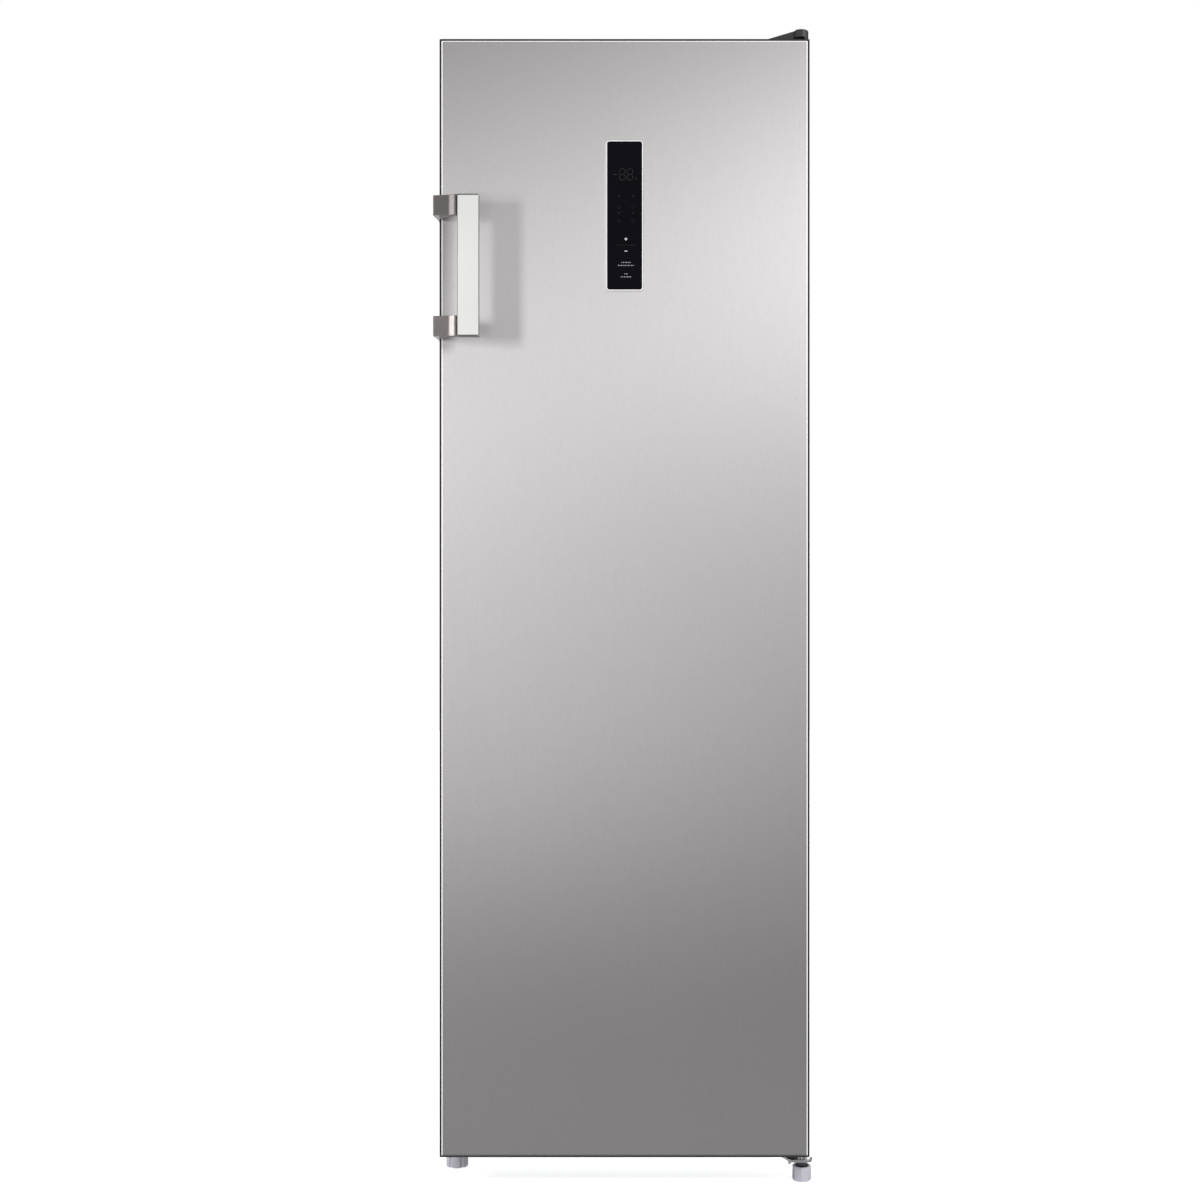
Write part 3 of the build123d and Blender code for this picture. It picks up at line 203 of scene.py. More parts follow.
def maths(tree, operation, a, b=0.0, clamp=False):
    node = tree.nodes.new("ShaderNodeMath")
    node.operation = operation
    node.use_clamp = clamp
    feed(tree, a, node.inputs[0])
    feed(tree, b, node.inputs[1])
    return node.outputs[0]


def remap(tree, value, low, high, to_low=0.0, to_high=1.0):
    node = tree.nodes.new("ShaderNodeMapRange")
    for socket, setting in zip(node.inputs, (value, low, high, to_low, to_high)):
        feed(tree, setting, socket)
    return node.outputs[0]


def scaled(tree, vector, factor):
    """A vector times a number, or times another vector."""
    node = tree.nodes.new("ShaderNodeVectorMath")
    if isinstance(factor, tuple):
        node.operation = "MULTIPLY"
        feed(tree, factor, node.inputs[1])
    else:
        node.operation = "SCALE"
        feed(tree, factor, node.inputs["Scale"])
    feed(tree, vector, node.inputs[0])
    return node.outputs[0]


def noise(tree, vector, scale, detail=2.0, roughness=0.5):
    node = tree.nodes.new("ShaderNodeTexNoise")
    feed(tree, vector, node.inputs["Vector"])
    feed(tree, scale, node.inputs["Scale"])
    node.inputs["Detail"].default_value = detail
    node.inputs["Roughness"].default_value = roughness
    return node.outputs["Fac"]


def cells(tree, vector, scale, feature="F1", output="Distance"):
    node = tree.nodes.new("ShaderNodeTexVoronoi")
    node.feature = feature
    feed(tree, vector, node.inputs["Vector"])
    feed(tree, scale, node.inputs["Scale"])
    return node.outputs[output]


def object_place(tree):
    """The object's own x, y and z."""
    split = tree.nodes.new("ShaderNodeSeparateXYZ")
    feed(tree, tree.nodes.new("ShaderNodeTexCoord").outputs["Object"], split.inputs[0])
    return split.outputs


def seen_rays(tree):
    """1 for camera, glossy and transmission rays, 0 for all others."""
    rays = tree.nodes.new("ShaderNodeLightPath")
    seen = maths(tree, "MAXIMUM", rays.outputs["Is Camera Ray"], rays.outputs["Is Glossy Ray"])
    return maths(tree, "MAXIMUM", seen, rays.outputs["Is Transmission Ray"])


PATTERN_INPUTS = [("Vector", "Vector", None), ("Size", "Float", 0.001)]
PATTERN_OUTPUTS = [("Tone", "Float"), ("Height", "Float")]


def pattern_group(name, tone_and_height):
    """A group that turns a place and a feature size into a tone and a height."""
    tree, given, result = new_group(name, PATTERN_INPUTS, PATTERN_OUTPUTS)
    density = maths(tree, "DIVIDE", 1.0, given.outputs["Size"])
    tone, height = tone_and_height(tree, given.outputs["Vector"], density)
    feed(tree, tone, result.inputs["Tone"])
    feed(tree, height, result.inputs["Height"])
    return tree


def brushed_lines(tree, place, density):
    """Fine and coarser lines of a belt grinder; the place is squeezed along them."""
    fine = noise(tree, place, density, 3.0, 0.7)
    coarse = noise(tree, place, maths(tree, "MULTIPLY", density, 0.23), 2.0, 0.5)
    both = maths(tree, "ADD", maths(tree, "MULTIPLY", fine, 0.84),
                 maths(tree, "MULTIPLY", coarse, 0.16))
    tone = remap(tree, both, 0.34, 0.66)
    return tone, tone


def moulded_skin(tree, place, density):
    """Spark-eroded tool texture of moulded plastic."""
    pits = cells(tree, place, density, "SMOOTH_F1")
    rough = noise(tree, place, maths(tree, "MULTIPLY", density, 0.8), 3.0, 0.6)
    return remap(tree, rough, 0.3, 0.7), maths(tree, "MULTIPLY", pits, rough)


def orange_peel(tree, place, density):
    """Slow waves of sprayed paint, glossy film or blown glass."""
    waves = noise(tree, place, density, 1.0, 0.4)
    specks = noise(tree, place, maths(tree, "MULTIPLY", density, 4.0), 2.0)
    return remap(tree, specks, 0.3, 0.7), waves


def zinc_flowers(tree, place, density):
    """Crystals of hot-dip zinc, each with its own shade, and their borders."""
    shade = tree.nodes.new("ShaderNodeSeparateColor")
    feed(tree, cells(tree, place, density, output="Color"), shade.inputs[0])
    feathered = noise(tree, place, maths(tree, "MULTIPLY", density, 5.0), 2.0)
    tone = maths(tree, "ADD", maths(tree, "MULTIPLY", shade.outputs[0], 0.75),
                 maths(tree, "MULTIPLY", feathered, 0.25))
    border = cells(tree, place, density, "DISTANCE_TO_EDGE")
    return tone, remap(tree, border, 0.0, 0.08)


def foam_bubbles(tree, place, density):
    """Cut cells of expanded foam in two sizes."""
    large = cells(tree, place, maths(tree, "MULTIPLY", density, 0.3))
    small = cells(tree, place, density)
    return remap(tree, small, 0.1, 0.7), maths(tree, "MULTIPLY", large, small)


def cast_skin(tree, place, density):
    """Grain of cast, pressed or heavily enamelled metal."""
    lumps = noise(tree, place, density, 4.0, 0.65)
    return remap(tree, lumps, 0.32, 0.68), lumps


def cloud_group():
    """Slow, soft change of tone over a large face."""
    tree, given, result = new_group("Slow Cloud", PATTERN_INPUTS, [("Tone", "Float")])
    density = maths(tree, "DIVIDE", 1.0, given.outputs["Size"])
    feed(tree, remap(tree, noise(tree, given.outputs["Vector"], density, 3.0, 0.55), 0.3, 0.7),
         result.inputs["Tone"])
    return tree


def edge_group():
    """Rounded edges: a softened normal, and a broken mask of where hands and cloths rub, which on
    the feet also carries a painted highlight along the ridges.
    """
    tree, given, result = new_group(
        "Rubbed Edge", [("Vector", "Vector", None), ("Radius", "Float", 0.0006),
                        ("Amount", "Float", 0.5)],
        [("Mask", "Float"), ("Normal", "Vector")])
    bevel = tree.nodes.new("ShaderNodeBevel")
    bevel.samples = 4
    feed(tree, given.outputs["Radius"], bevel.inputs["Radius"])
    face = tree.nodes.new("ShaderNodeNewGeometry")
    along = tree.nodes.new("ShaderNodeVectorMath")
    along.operation = "DOT_PRODUCT"
    feed(tree, bevel.outputs[0], along.inputs[0])
    feed(tree, face.outputs["Normal"], along.inputs[1])
    flat, turned = 0.995, 0.9       # cosines between the softened and the true normal
    edge = remap(tree, along.outputs["Value"], flat, turned)
    broken = remap(tree, noise(tree, given.outputs["Vector"], 55.0, 4.0, 0.6), 0.35, 0.6)
    mask = maths(tree, "MULTIPLY", maths(tree, "MULTIPLY", edge, broken), given.outputs["Amount"])
    feed(tree, mask, result.inputs["Mask"])
    feed(tree, bevel.outputs[0], result.inputs["Normal"])
    return tree


def dust_group():
    """Dust that has settled where a face looks up."""
    tree, given, result = new_group(
        "Settled Dust", [("Vector", "Vector", None), ("Amount", "Float", 0.3)],
        [("Mask", "Float")])
    face = tree.nodes.new("ShaderNodeNewGeometry")
    split = tree.nodes.new("ShaderNodeSeparateXYZ")
    feed(tree, face.outputs["Normal"], split.inputs[0])
    steep, level = 0.55, 1.0        # upward part of the normal where dust begins and is full
    upward = remap(tree, split.outputs["Z"], steep, level)
    patches = remap(tree, noise(tree, given.outputs["Vector"], 14.0, 5.0, 0.6), 0.35, 0.7)
    settled = maths(tree, "MULTIPLY", upward, patches)
    mask = maths(tree, "MULTIPLY", settled, given.outputs["Amount"])
    feed(tree, mask, result.inputs["Mask"])
    return tree


def build_groups():
    """Every shared effect, made once."""
    patterns = {
        "Brushed Lines": brushed_lines, "Moulded Skin": moulded_skin, "Orange Peel": orange_peel,
        "Zinc Flowers": zinc_flowers, "Foam Bubbles": foam_bubbles, "Cast Skin": cast_skin,
    }
    for name, rule in patterns.items():
        pattern_group(name, rule)
    cloud_group()
    edge_group()
    dust_group()


# ---------------------------------------------------------------- finishes

def place_group(tree, name, **values):
    node = tree.nodes.new("ShaderNodeGroup")
    node.node_tree = bpy.data.node_groups[name]
    for title, value in values.items():
        feed(tree, value, node.inputs[title])
    return node.outputs


def mixed(tree, factor, a, b):
    """One colour over another; 6, 7 and 2 are the node's colour sockets."""
    node = tree.nodes.new("ShaderNodeMix")
    node.data_type = "RGBA"
    feed(tree, factor, node.inputs[0])
    feed(tree, a, node.inputs[6])
    feed(tree, b, node.inputs[7])
    return node.outputs[2]


def surface(name, colour, roughness, metallic=0.0, pattern="Orange Peel", size=0.001,
            stretch=(1.0, 1.0, 1.0), tone=0.06, cloud=0.05, cloud_size=0.15, spread=0.06,
            relief=0.15, edge=0.0006, wear_and_glint_colour=None, wear_and_glint=0.4, dust=0.0, **constants):
    """A finish whose colour, gloss and relief vary; constants go on the shader's own sockets."""
    material = bpy.data.materials.new(name)
    material.use_nodes = True
    tree = material.node_tree
    shader = tree.nodes["Principled BSDF"]
    shader.inputs["Metallic"].default_value = metallic
    for title, value in constants.items():
        shader.inputs[title.replace("_", " ").title().replace("Ior", "IOR")].default_value = value

    place = tree.nodes.new("ShaderNodeTexCoord").outputs["Object"]
    grain = place_group(tree, pattern, Vector=scaled(tree, place, stretch), Size=size)
    clouds = place_group(tree, "Slow Cloud", Vector=place, Size=cloud_size)
    shade = maths(tree, "ADD", remap(tree, grain["Tone"], 0.0, 1.0, 1.0 - tone, 1.0 + tone),
                  remap(tree, clouds["Tone"], 0.0, 1.0, -cloud, cloud))
    base = scaled(tree, tuple(colour[:3]), shade)
    gloss = maths(tree, "ADD", remap(tree, grain["Tone"], 0.0, 1.0, roughness + spread,
                                     roughness - spread),
                  remap(tree, clouds["Tone"], 0.0, 1.0, -0.5 * spread, 0.5 * spread))
    rim = place_group(tree, "Rubbed Edge", Vector=place, Radius=edge, Amount=wear_and_glint)
    # The edge colour is real wear on most finishes and a painted highlight along the ridges of the
    # feet.
    if wear_and_glint_colour:
        base = mixed(tree, rim["Mask"], base, (*wear_and_glint_colour, 1.0))
    if dust:
        settled = place_group(tree, "Settled Dust", Vector=place, Amount=dust)["Mask"]
        base = mixed(tree, settled, base, DUST)
        gloss = maths(tree, "ADD", gloss, maths(tree, "MULTIPLY", settled, DUST_DULLS),
                     clamp=True)
    bump = tree.nodes.new("ShaderNodeBump")
    bump.inputs["Strength"].default_value = relief
    bump.inputs["Distance"].default_value = RELIEF_DEPTH * size
    feed(tree, grain["Height"], bump.inputs["Height"])
    feed(tree, rim["Normal"], bump.inputs["Normal"])
    feed(tree, base, shader.inputs["Base Color"])
    feed(tree, gloss, shader.inputs["Roughness"])
    feed(tree, bump.outputs[0], shader.inputs["Normal"])
    return material


def clear_surface(name, colour, roughness, **settings):
    """A see-through finish: glass or clear plastic."""
    return surface(name, colour, roughness, transmission_weight=1.0, **settings)


def paint(material, *nodes):
    """Gives CAD nodes their finish."""
    for name in nodes:
        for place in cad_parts[name].material_slots:
            place.material = material


def numbered(stem, count):
    return [f"{stem}_{k + 1}" for k in range(count)]


# ---------------------------------------------------------------- mesh helpers

def add_object(name, data):
    """A new object, linked to the scene."""
    made = bpy.data.objects.new(name, data)
    bpy.context.scene.collection.objects.link(made)
    return made


def mesh_from(bm, name, material):
    """Mesh data from bmesh data, with its material."""
    mesh = bpy.data.meshes.new(name)
    bm.normal_update()
    bm.to_mesh(mesh)
    bm.free()
    mesh.materials.append(material)
    return mesh


def mesh_piece(name, body, material, bm, smooth=False):
    """A finished piece from bmesh data, riding on its body."""
    mesh = mesh_from(bm, name, material)
    if smooth:
        mesh.shade_smooth()
    piece = add_object(name, mesh)
    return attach(piece, body)


def plate(bm, outline, lift=0.0):
    """A thin plate on the glass: x, z points, lifted off the other marks where they cross."""
    front = MARK_FRONT - lift
    face = bm.faces.new([bm.verts.new((x, front, z)) for x, z in outline])
    grown = bmesh.ops.extrude_face_region(bm, geom=[face])
    moved = [v for v in grown["geom"] if isinstance(v, bmesh.types.BMVert)]
    bmesh.ops.translate(bm, verts=moved, vec=(0.0, MARK_DEPTH, 0.0))


def bar_mark(bm, x, z, width, height, lift=0.0):
    """A small bar with bevelled ends."""
    bevel = 0.35 * min(width, height)
    left, right = x - width / 2, x + width / 2
    low, high = z - height / 2, z + height / 2
    plate(bm, [(left + bevel, low), (right - bevel, low),
               (right, low + bevel), (right, high - bevel),
               (right - bevel, high), (left + bevel, high),
               (left, high - bevel), (left, low + bevel)], lift)


def line_mark(bm, start, end, stroke):
    """A straight stroke from one x, z point to another."""
    along = Vector(end) - Vector(start)
    nx, nz = stroke / 2 * Vector((-along.y, along.x)).normalized()
    plate(bm, [(start[0] - nx, start[1] - nz), (end[0] - nx, end[1] - nz),
               (end[0] + nx, end[1] + nz), (start[0] + nx, start[1] + nz)])


def ring_mark(bm, x, z, radius, stroke, steps=24):
    """A ring of small plates."""
    inner, outer = radius - stroke / 2, radius + stroke / 2
    for k in range(steps):
        a = math.tau * k / steps
        b = math.tau * (k + 1) / steps
        plate(bm, [(x + reach * math.cos(turn), z + reach * math.sin(turn))
                   for reach, turn in ((inner, a), (outer, a), (outer, b), (inner, b))])


def star_mark(bm, x, z, radius, stroke):
    """Three strokes that cross in their middles."""
    for k in range(3):
        dx = radius * math.cos(math.pi * k / 3)
        dz = radius * math.sin(math.pi * k / 3)
        line_mark(bm, (x - dx, z - dz), (x + dx, z + dz), stroke)


# ---------------------------------------------------------------- operators

class FREEZER_OT_studio(bpy.types.Operator):
    """Pale floor, white backdrop, soft lamps, reflection cards and the camera"""
    bl_idname = "freezer.studio"
    bl_label = "Studio"

    def execute(self, context):
        settings = context.scene.freezer_studio
        scene = context.scene
        scene.view_settings.view_transform = "Standard"
        self.add_world(scene, settings)
        self.add_floor(settings)
        for name, place, aim, width, height, power in LAMPS:
            self.add_lamp(name, place, aim, width, height, getattr(settings, power))
        self.add_cards()
        self.add_camera(scene, settings)
        return {"FINISHED"}

    def add_world(self, scene, settings):
        """Soft light from all round, and white for the rays that see it."""
        world = bpy.data.worlds.new("studio_world")
        scene.world = world
        world.use_nodes = True
        tree = world.node_tree
        soft = tree.nodes["Background"]
        soft.inputs["Color"].default_value = WHITE
        soft.inputs["Strength"].default_value = settings.ambient
        white = tree.nodes.new("ShaderNodeBackground")
        white.inputs["Color"].default_value = WHITE
        mix = tree.nodes.new("ShaderNodeMixShader")
        feed(tree, seen_rays(tree), mix.inputs[0])
        feed(tree, soft.outputs[0], mix.inputs[1])
        feed(tree, white.outputs[0], mix.inputs[2])
        feed(tree, mix.outputs[0], tree.nodes["World Output"].inputs["Surface"])

    def add_floor(self, settings):
        """A pale floor that shows white and keeps the freezer's shadow."""
        floor_paint = surface("floor_paint", settings.floor, 0.75, pattern="Cast Skin",
                              size=0.004, tone=0.01, cloud=0.01, relief=0.02, spread=0.03,
                              specular_ior_level=0.0, emission_color=WHITE)
        tree = floor_paint.node_tree
        feed(tree, maths(tree, "MULTIPLY", seen_rays(tree), FLOOR_GLOW),
             tree.nodes["Principled BSDF"].inputs["Emission Strength"])
        bm = bmesh.new()
        bmesh.ops.create_grid(bm, x_segments=FLOOR_CELLS, y_segments=FLOOR_CELLS,
                              size=FLOOR_REACH)
        floor = add_object("studio_floor", mesh_from(bm, "studio_floor", floor_paint))
        floor.location = (0.0, 0.0, -FLOOR_DROP)

    def add_lamp(self, name, place, aim, width, height, power):
        """A softbox that looks from its place at its aim."""
        data = bpy.data.lights.new(name, "AREA")
        data.shape = "RECTANGLE"
        data.size = width
        data.size_y = height
        data.energy = power
        place = Vector((place[0], door_low.y + place[1], place[2]))
        aim = Vector((aim[0], door_low.y + aim[1], aim[2]))
        turn = (aim - place).to_track_quat("-Z", "Y").to_matrix().to_4x4()
        add_object(name, data).matrix_world = Matrix.Translation(place) @ turn

    def add_cards(self):
        """Black flags round the set and dark cloths on the floor, which only reflections see."""
        flags = bmesh.new()
        span = math.tau - math.radians(FLAG_OPENING)
        turns = [span * (k / FLAG_STEPS - 0.5) for k in range(FLAG_STEPS + 1)]
        places = [(CARD_REACH * math.sin(turn), -CARD_REACH * math.cos(turn)) for turn in turns]
        foot, top = ([flags.verts.new((x, y, z)) for x, y in places] for z in (0.0, FLAG_TOP))
        for k in range(FLAG_STEPS):
            flags.faces.new((foot[k], foot[k + 1], top[k + 1], top[k]))
        self.add_card("black_flags", flags, FLAG_LEVEL)
        for name, near, far, level in CLOTHS:
            cloth = bmesh.new()
            corners = ((-CARD_REACH, near), (CARD_REACH, near), (CARD_REACH, far),
                       (-CARD_REACH, far))
            cloth.faces.new([cloth.verts.new((x, y, CLOTH_LIFT)) for x, y in corners])
            self.add_card(name, cloth, level)

    def add_card(self, name, bm, level):
        """A card of one even grey."""
        grey = bpy.data.materials.new(name)
        grey.use_nodes = True
        tree = grey.node_tree
        glow = tree.nodes.new("ShaderNodeEmission")
        glow.inputs["Strength"].default_value = level
        feed(tree, glow.outputs[0], tree.nodes["Material Output"].inputs["Surface"])
        card = add_object(name, mesh_from(bm, name, grey))
        card.visible_camera = False
        card.visible_diffuse = False
        card.visible_shadow = False
        card.visible_transmission = False

    def add_camera(self, scene, settings):
        """A level camera straight in front of the door."""
        data = bpy.data.cameras.new("photo_camera")
        data.sensor_width = 36.0
        data.lens = settings.lens
        camera = add_object("photo_camera", data)
        camera.location = (settings.camera_side, door_low.y - settings.camera_distance,
                           settings.camera_height)
        camera.rotation_euler = (math.pi / 2, 0.0, 0.0)
        scene.camera = camera


class FREEZER_OT_sheet_metal(bpy.types.Operator):
    """Painted cabinet sheets, zinc-coated back, floor and base frame, and the foam between them"""
    bl_idname = "freezer.sheet_metal"
    bl_label = "Sheet Metal"

    def execute(self, context):
        colours = context.scene.freezer_finishes
        paint(surface("cabinet_paint", colours.paint, 0.42, 0.35, size=0.0025, tone=0.015,
                      cloud=0.02, relief=0.10, spread=0.03, wear_and_glint_colour=(0.55, 0.55, 0.55), wear_and_glint=0.3,
                      dust=0.06),
              "side_panel_left", "side_panel_right", "top_panel", "front_beam")
        paint(surface("galvanised", colours.zinc, 0.40, 0.85, "Zinc Flowers", 0.011,
                      tone=0.16, cloud=0.06, relief=0.12, spread=0.12,
                      wear_and_glint_colour=(0.42, 0.42, 0.43), dust=0.35),
              "back_panel", "bottom_panel", "base_frame")
        paint(surface("foam", colours.foam, 0.85, pattern="Foam Bubbles", size=0.0012,
                      tone=0.12, cloud=0.08, cloud_size=0.05, relief=0.8, spread=0.04),
              "cabinet_foam", "door_foam")
        return {"FINISHED"}


class FREEZER_OT_door(bpy.types.Operator):
    """Brushed steel front with a painted highlight line and painted dark reflection along its
    folds, dark end caps, seal, and the white plastic inside
    """
    bl_idname = "freezer.door"
    bl_label = "Door"

    def execute(self, context):
        colours = context.scene.freezer_finishes
        front = surface("stainless_front", colours.steel, 0.56, 1.0, "Brushed Lines",
                        colours.grain_width, (1.0, 1.0, 0.08), tone=0.030, cloud=0.008,
                        cloud_size=0.4, spread=0.02, relief=0.05, edge=0.0035,
                        wear_and_glint_colour=(0.72, 0.71, 0.71), wear_and_glint=0.3, anisotropic=0.75)
        self.paint_fold_shade_and_highlight(front, colours.door_side, colours.door_fold_highlight)
        paint(front, "door_skin")
        paint(surface("door_cap_plastic", (0.022, 0.021, 0.022), 0.5, pattern="Moulded Skin",
                      size=0.0006, tone=0.10, relief=0.3, dust=0.05),
              "door_top_cap", "door_bottom_cap")
        paint(surface("liner_white", colours.liner, 0.28, size=0.006, tone=0.01, cloud=0.015,
                      relief=0.10, spread=0.05, coat_weight=0.2, coat_roughness=0.12),
              "door_liner", "inner_liner", "evaporator_cover")
        paint(surface("seal_grey", (0.42, 0.42, 0.43), 0.6, pattern="Cast Skin", size=0.0009,
                      tone=0.08, relief=0.2, specular_ior_level=0.35),
              "door_gasket")
        return {"FINISHED"}

    def paint_fold_shade_and_highlight(self, material, side_colour, fold_highlight_colour):
        """Dark paint on the folded sides of the sheet, which also stands in for the dark
        reflection on the fold's outer curve, and a painted highlight: a bright line where the fold
        begins.
        """
        tree = material.node_tree
        shader = tree.nodes["Principled BSDF"]
        place = object_place(tree)
        across = maths(tree, "ABSOLUTE", place["X"])
        dark, highlight_band = (
            maths(tree, "MAXIMUM",
                  remap(tree, across, door_high.x - side, door_high.x - side + FOLD_BLEND),
                  remap(tree, place["Z"], door_high.z - top, door_high.z - top + FOLD_BLEND))
            for side, top in (FOLD_PAINT_AND_SHADE, FOLD_HIGHLIGHT))
        steel = shader.inputs["Base Color"].links[0].from_socket
        gloss = shader.inputs["Roughness"].links[0].from_socket
        # Painted highlight along the start of the fold, then the dark paint that doubles as
        # painted dark reflection.
        highlighted = mixed(tree, highlight_band, steel, (*fold_highlight_colour, 1.0))
        feed(tree, mixed(tree, dark, highlighted, (*side_colour, 1.0)), shader.inputs["Base Color"])
        feed(tree, maths(tree, "SUBTRACT", 1.0, maths(tree, "MAXIMUM", highlight_band, dark)),
             shader.inputs["Metallic"])
        paint_is_duller = maths(tree, "MULTIPLY", dark, 0.35)
        feed(tree, maths(tree, "ADD", gloss, paint_is_duller), shader.inputs["Roughness"])


class FREEZER_OT_handle(bpy.types.Operator):
    """Satin bar with painted dark reflections along its edges, and the two wrap-round brackets"""
    bl_idname = "freezer.handle"
    bl_label = "Handle"

    def execute(self, context):
        colours = context.scene.freezer_finishes
        bar = surface("bar_satin", colours.bar, 0.40, 0.5, "Brushed Lines", 0.0005,
                      (1.0, 1.0, 0.03), tone=0.015, cloud=0.02, relief=0.06, spread=0.03,
                      edge=0.0004)
        self.paint_bar_edge_shade(bar, colours.bar_edge_shade)
        paint(bar, "handle_bar")
        paint(surface("bracket_grey", colours.bracket, 0.42, 1.0, "Cast Skin", 0.0007,
                      tone=0.08, cloud=0.05, relief=0.08, spread=0.05, edge=0.0008,
                      wear_and_glint_colour=(0.50, 0.48, 0.47)), "handle_bracket_top", "handle_bracket_bottom")
        return {"FINISHED"}

    def paint_bar_edge_shade(self, material, edge_shade_colour):
        """A dark line along the bar's long edges, without the bar's metallic shine: painted shade
        that stands in for the dark reflection on the rounded edges.
        """
        low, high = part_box("handle_bar")
        tree = material.node_tree
        shader = tree.nodes["Principled BSDF"]
        off_middle = maths(tree, "ABSOLUTE", maths(tree, "SUBTRACT", object_place(tree)["X"],
                                                   (low.x + high.x) / 2))
        half = (high.x - low.x) / 2
        begins, full = BAR_EDGE_SHADE
        edge = remap(tree, off_middle, half - begins, half - full)
        satin = shader.inputs["Base Color"].links[0].from_socket
        # Painted shade along the edges, in place of the dark reflection there.
        feed(tree, mixed(tree, edge, satin, (*edge_shade_colour, 1.0)), shader.inputs["Base Color"])
        metal = shader.inputs["Metallic"].default_value
        feed(tree, remap(tree, edge, 0.0, 1.0, metal, 0.0), shader.inputs["Metallic"])


class FREEZER_OT_display(bpy.types.Operator):
    """Black glass, a thin silver rim whose near-white colour is also a painted edge highlight,
    circuit board and the marks on the glass
    """
    bl_idname = "freezer.display"
    bl_label = "Display"

    def execute(self, context):
        paint(surface("display_black", (0.0032, 0.0030, 0.0050), 0.16, size=0.01, tone=0.05,
                      cloud=0.1, relief=0.01, spread=0.03, specular_ior_level=0.30),
              "display_glass")
        # The thin rim's near-white matt colour is partly its own silver and partly a painted
        # highlight along the glass's edge.
        paint(surface("bezel_silver", (0.90, 0.90, 0.90), 0.35, 0.1, pattern="Orange Peel",
                      size=0.001, tone=0.02, relief=0.03, edge=0.0004), "display_bezel")
        paint(surface("board_green", (0.015, 0.13, 0.045), 0.42, pattern="Cast Skin", size=0.001,
                      tone=0.15, relief=0.1), "display_board")
        self.add_segments(context.scene.freezer_display)
        self.add_key_marks(context.scene.freezer_display)
        return {"FINISHED"}

    def mark_material(self, name, colour):
        """Matt ink on the glass."""
        return surface(name, colour, 0.5, pattern="Cast Skin", size=0.0004, tone=0.03,
                       relief=0.02)

    def add_segments(self, settings):
        """Two seven-segment digits with their minus sign, and the status signs, all unlit."""
        bm = bmesh.new()
        middle = glass_high.z - settings.digits_drop
        half_pitch = settings.digit_pitch / 2
        for x in (settings.digits_side - half_pitch, settings.digits_side + half_pitch):
            self.add_digit(bm, settings, x, middle)
        minus_side, minus_width = -0.01485, 0.0068
        bar_mark(bm, minus_side, middle, minus_width, settings.stroke)
        digit_foot = middle - (settings.digit_height - settings.stroke) / 2
        dot_side, dot_rise, dot_radius, dot_stroke = 0.0182, 0.0022, 0.0014, 0.0006
        ring_mark(bm, dot_side, digit_foot + dot_rise, dot_radius, dot_stroke)
        sign_sides = (-0.0090, 0.0135)
        sign_drops = (0.0877, 0.1057, 0.1147, 0.1277)
        ring_radius, star_radius, sign_stroke = 0.0022, 0.0026, 0.00045
        for x in sign_sides:
            for row, drop in enumerate(sign_drops):
                if row % 2:
                    ring_mark(bm, x, glass_high.z - drop, ring_radius, sign_stroke)
                else:
                    star_mark(bm, x, glass_high.z - drop, star_radius, sign_stroke)
        mesh_piece("display_segments", "door",
                   self.mark_material("unlit_segment", settings.unlit), bm)

    def add_digit(self, bm, settings, x, middle):
        """Seven straight segments and their eight mitred corners."""
        height = settings.digit_height - settings.stroke
        half_width = (settings.digit_width - settings.stroke) / 2
        corner = 0.52 * half_width          # reach of a mitred corner
        gap = 0.0003
        trim = 2 * (gap + corner)           # comes off a straight segment's length
        for level in (-1, 0, 1):
            bar_mark(bm, x, middle + level * height / 2, 2 * half_width - trim, settings.stroke)
        for side in (-1, 1):
            edge = x + side * half_width
            for level in (-1, 1):
                z = middle + level * height / 4
                bar_mark(bm, edge, z, settings.stroke, height / 2 - trim)
                for end in (-1, 1):
                    line_mark(bm, (edge - side * corner, z + end * height / 4),
                              (edge, z + end * (height / 4 - corner)), 0.7 * settings.stroke)

    def add_key_marks(self, settings):
        """Printed plus and minus, the thin line between them, and small bars in place of words."""
        keys, line, labels = bmesh.new(), bmesh.new(), bmesh.new()
        x = settings.keys_side
        size = settings.key_size
        plus = glass_high.z - settings.plus_drop
        minus = plus - settings.key_pitch
        stroke = 0.24 * size
        bar_mark(keys, x, plus, size, stroke)
        bar_mark(keys, x, plus, stroke, size, lift=0.00001)
        bar_mark(keys, x, minus, size, stroke)
        line_length, line_width = 0.030, 0.0006
        bar_mark(line, x, plus - settings.key_pitch / 2, line_length, line_width)
        row_pitch, letter_pitch = 0.0048, 0.0026
        words = ((0.0206, (0.016, 0.026)), (0.0390, (0.0062, 0.017)))   # drop, lengths of rows
        for drop, lengths in words:
            for row, length in enumerate(lengths):
                z = minus - drop + row_pitch * (0.5 - row)
                count = max(2, round(length / letter_pitch))
                pitch = length / count
                for k in range(count):
                    bar_mark(labels, x + (k - (count - 1) / 2) * pitch, z, 0.62 * pitch,
                             0.0013 + 0.0006 * ((k + row) % 2))
        mesh_piece("display_key_marks", "door",
                   self.mark_material("printed_mark", settings.mark), keys)
        mesh_piece("display_labels", "door",
                   self.mark_material("printed_label", settings.label), labels)
        mesh_piece("display_key_line", "door",
                   self.mark_material("faint_line", settings.unlit), line)


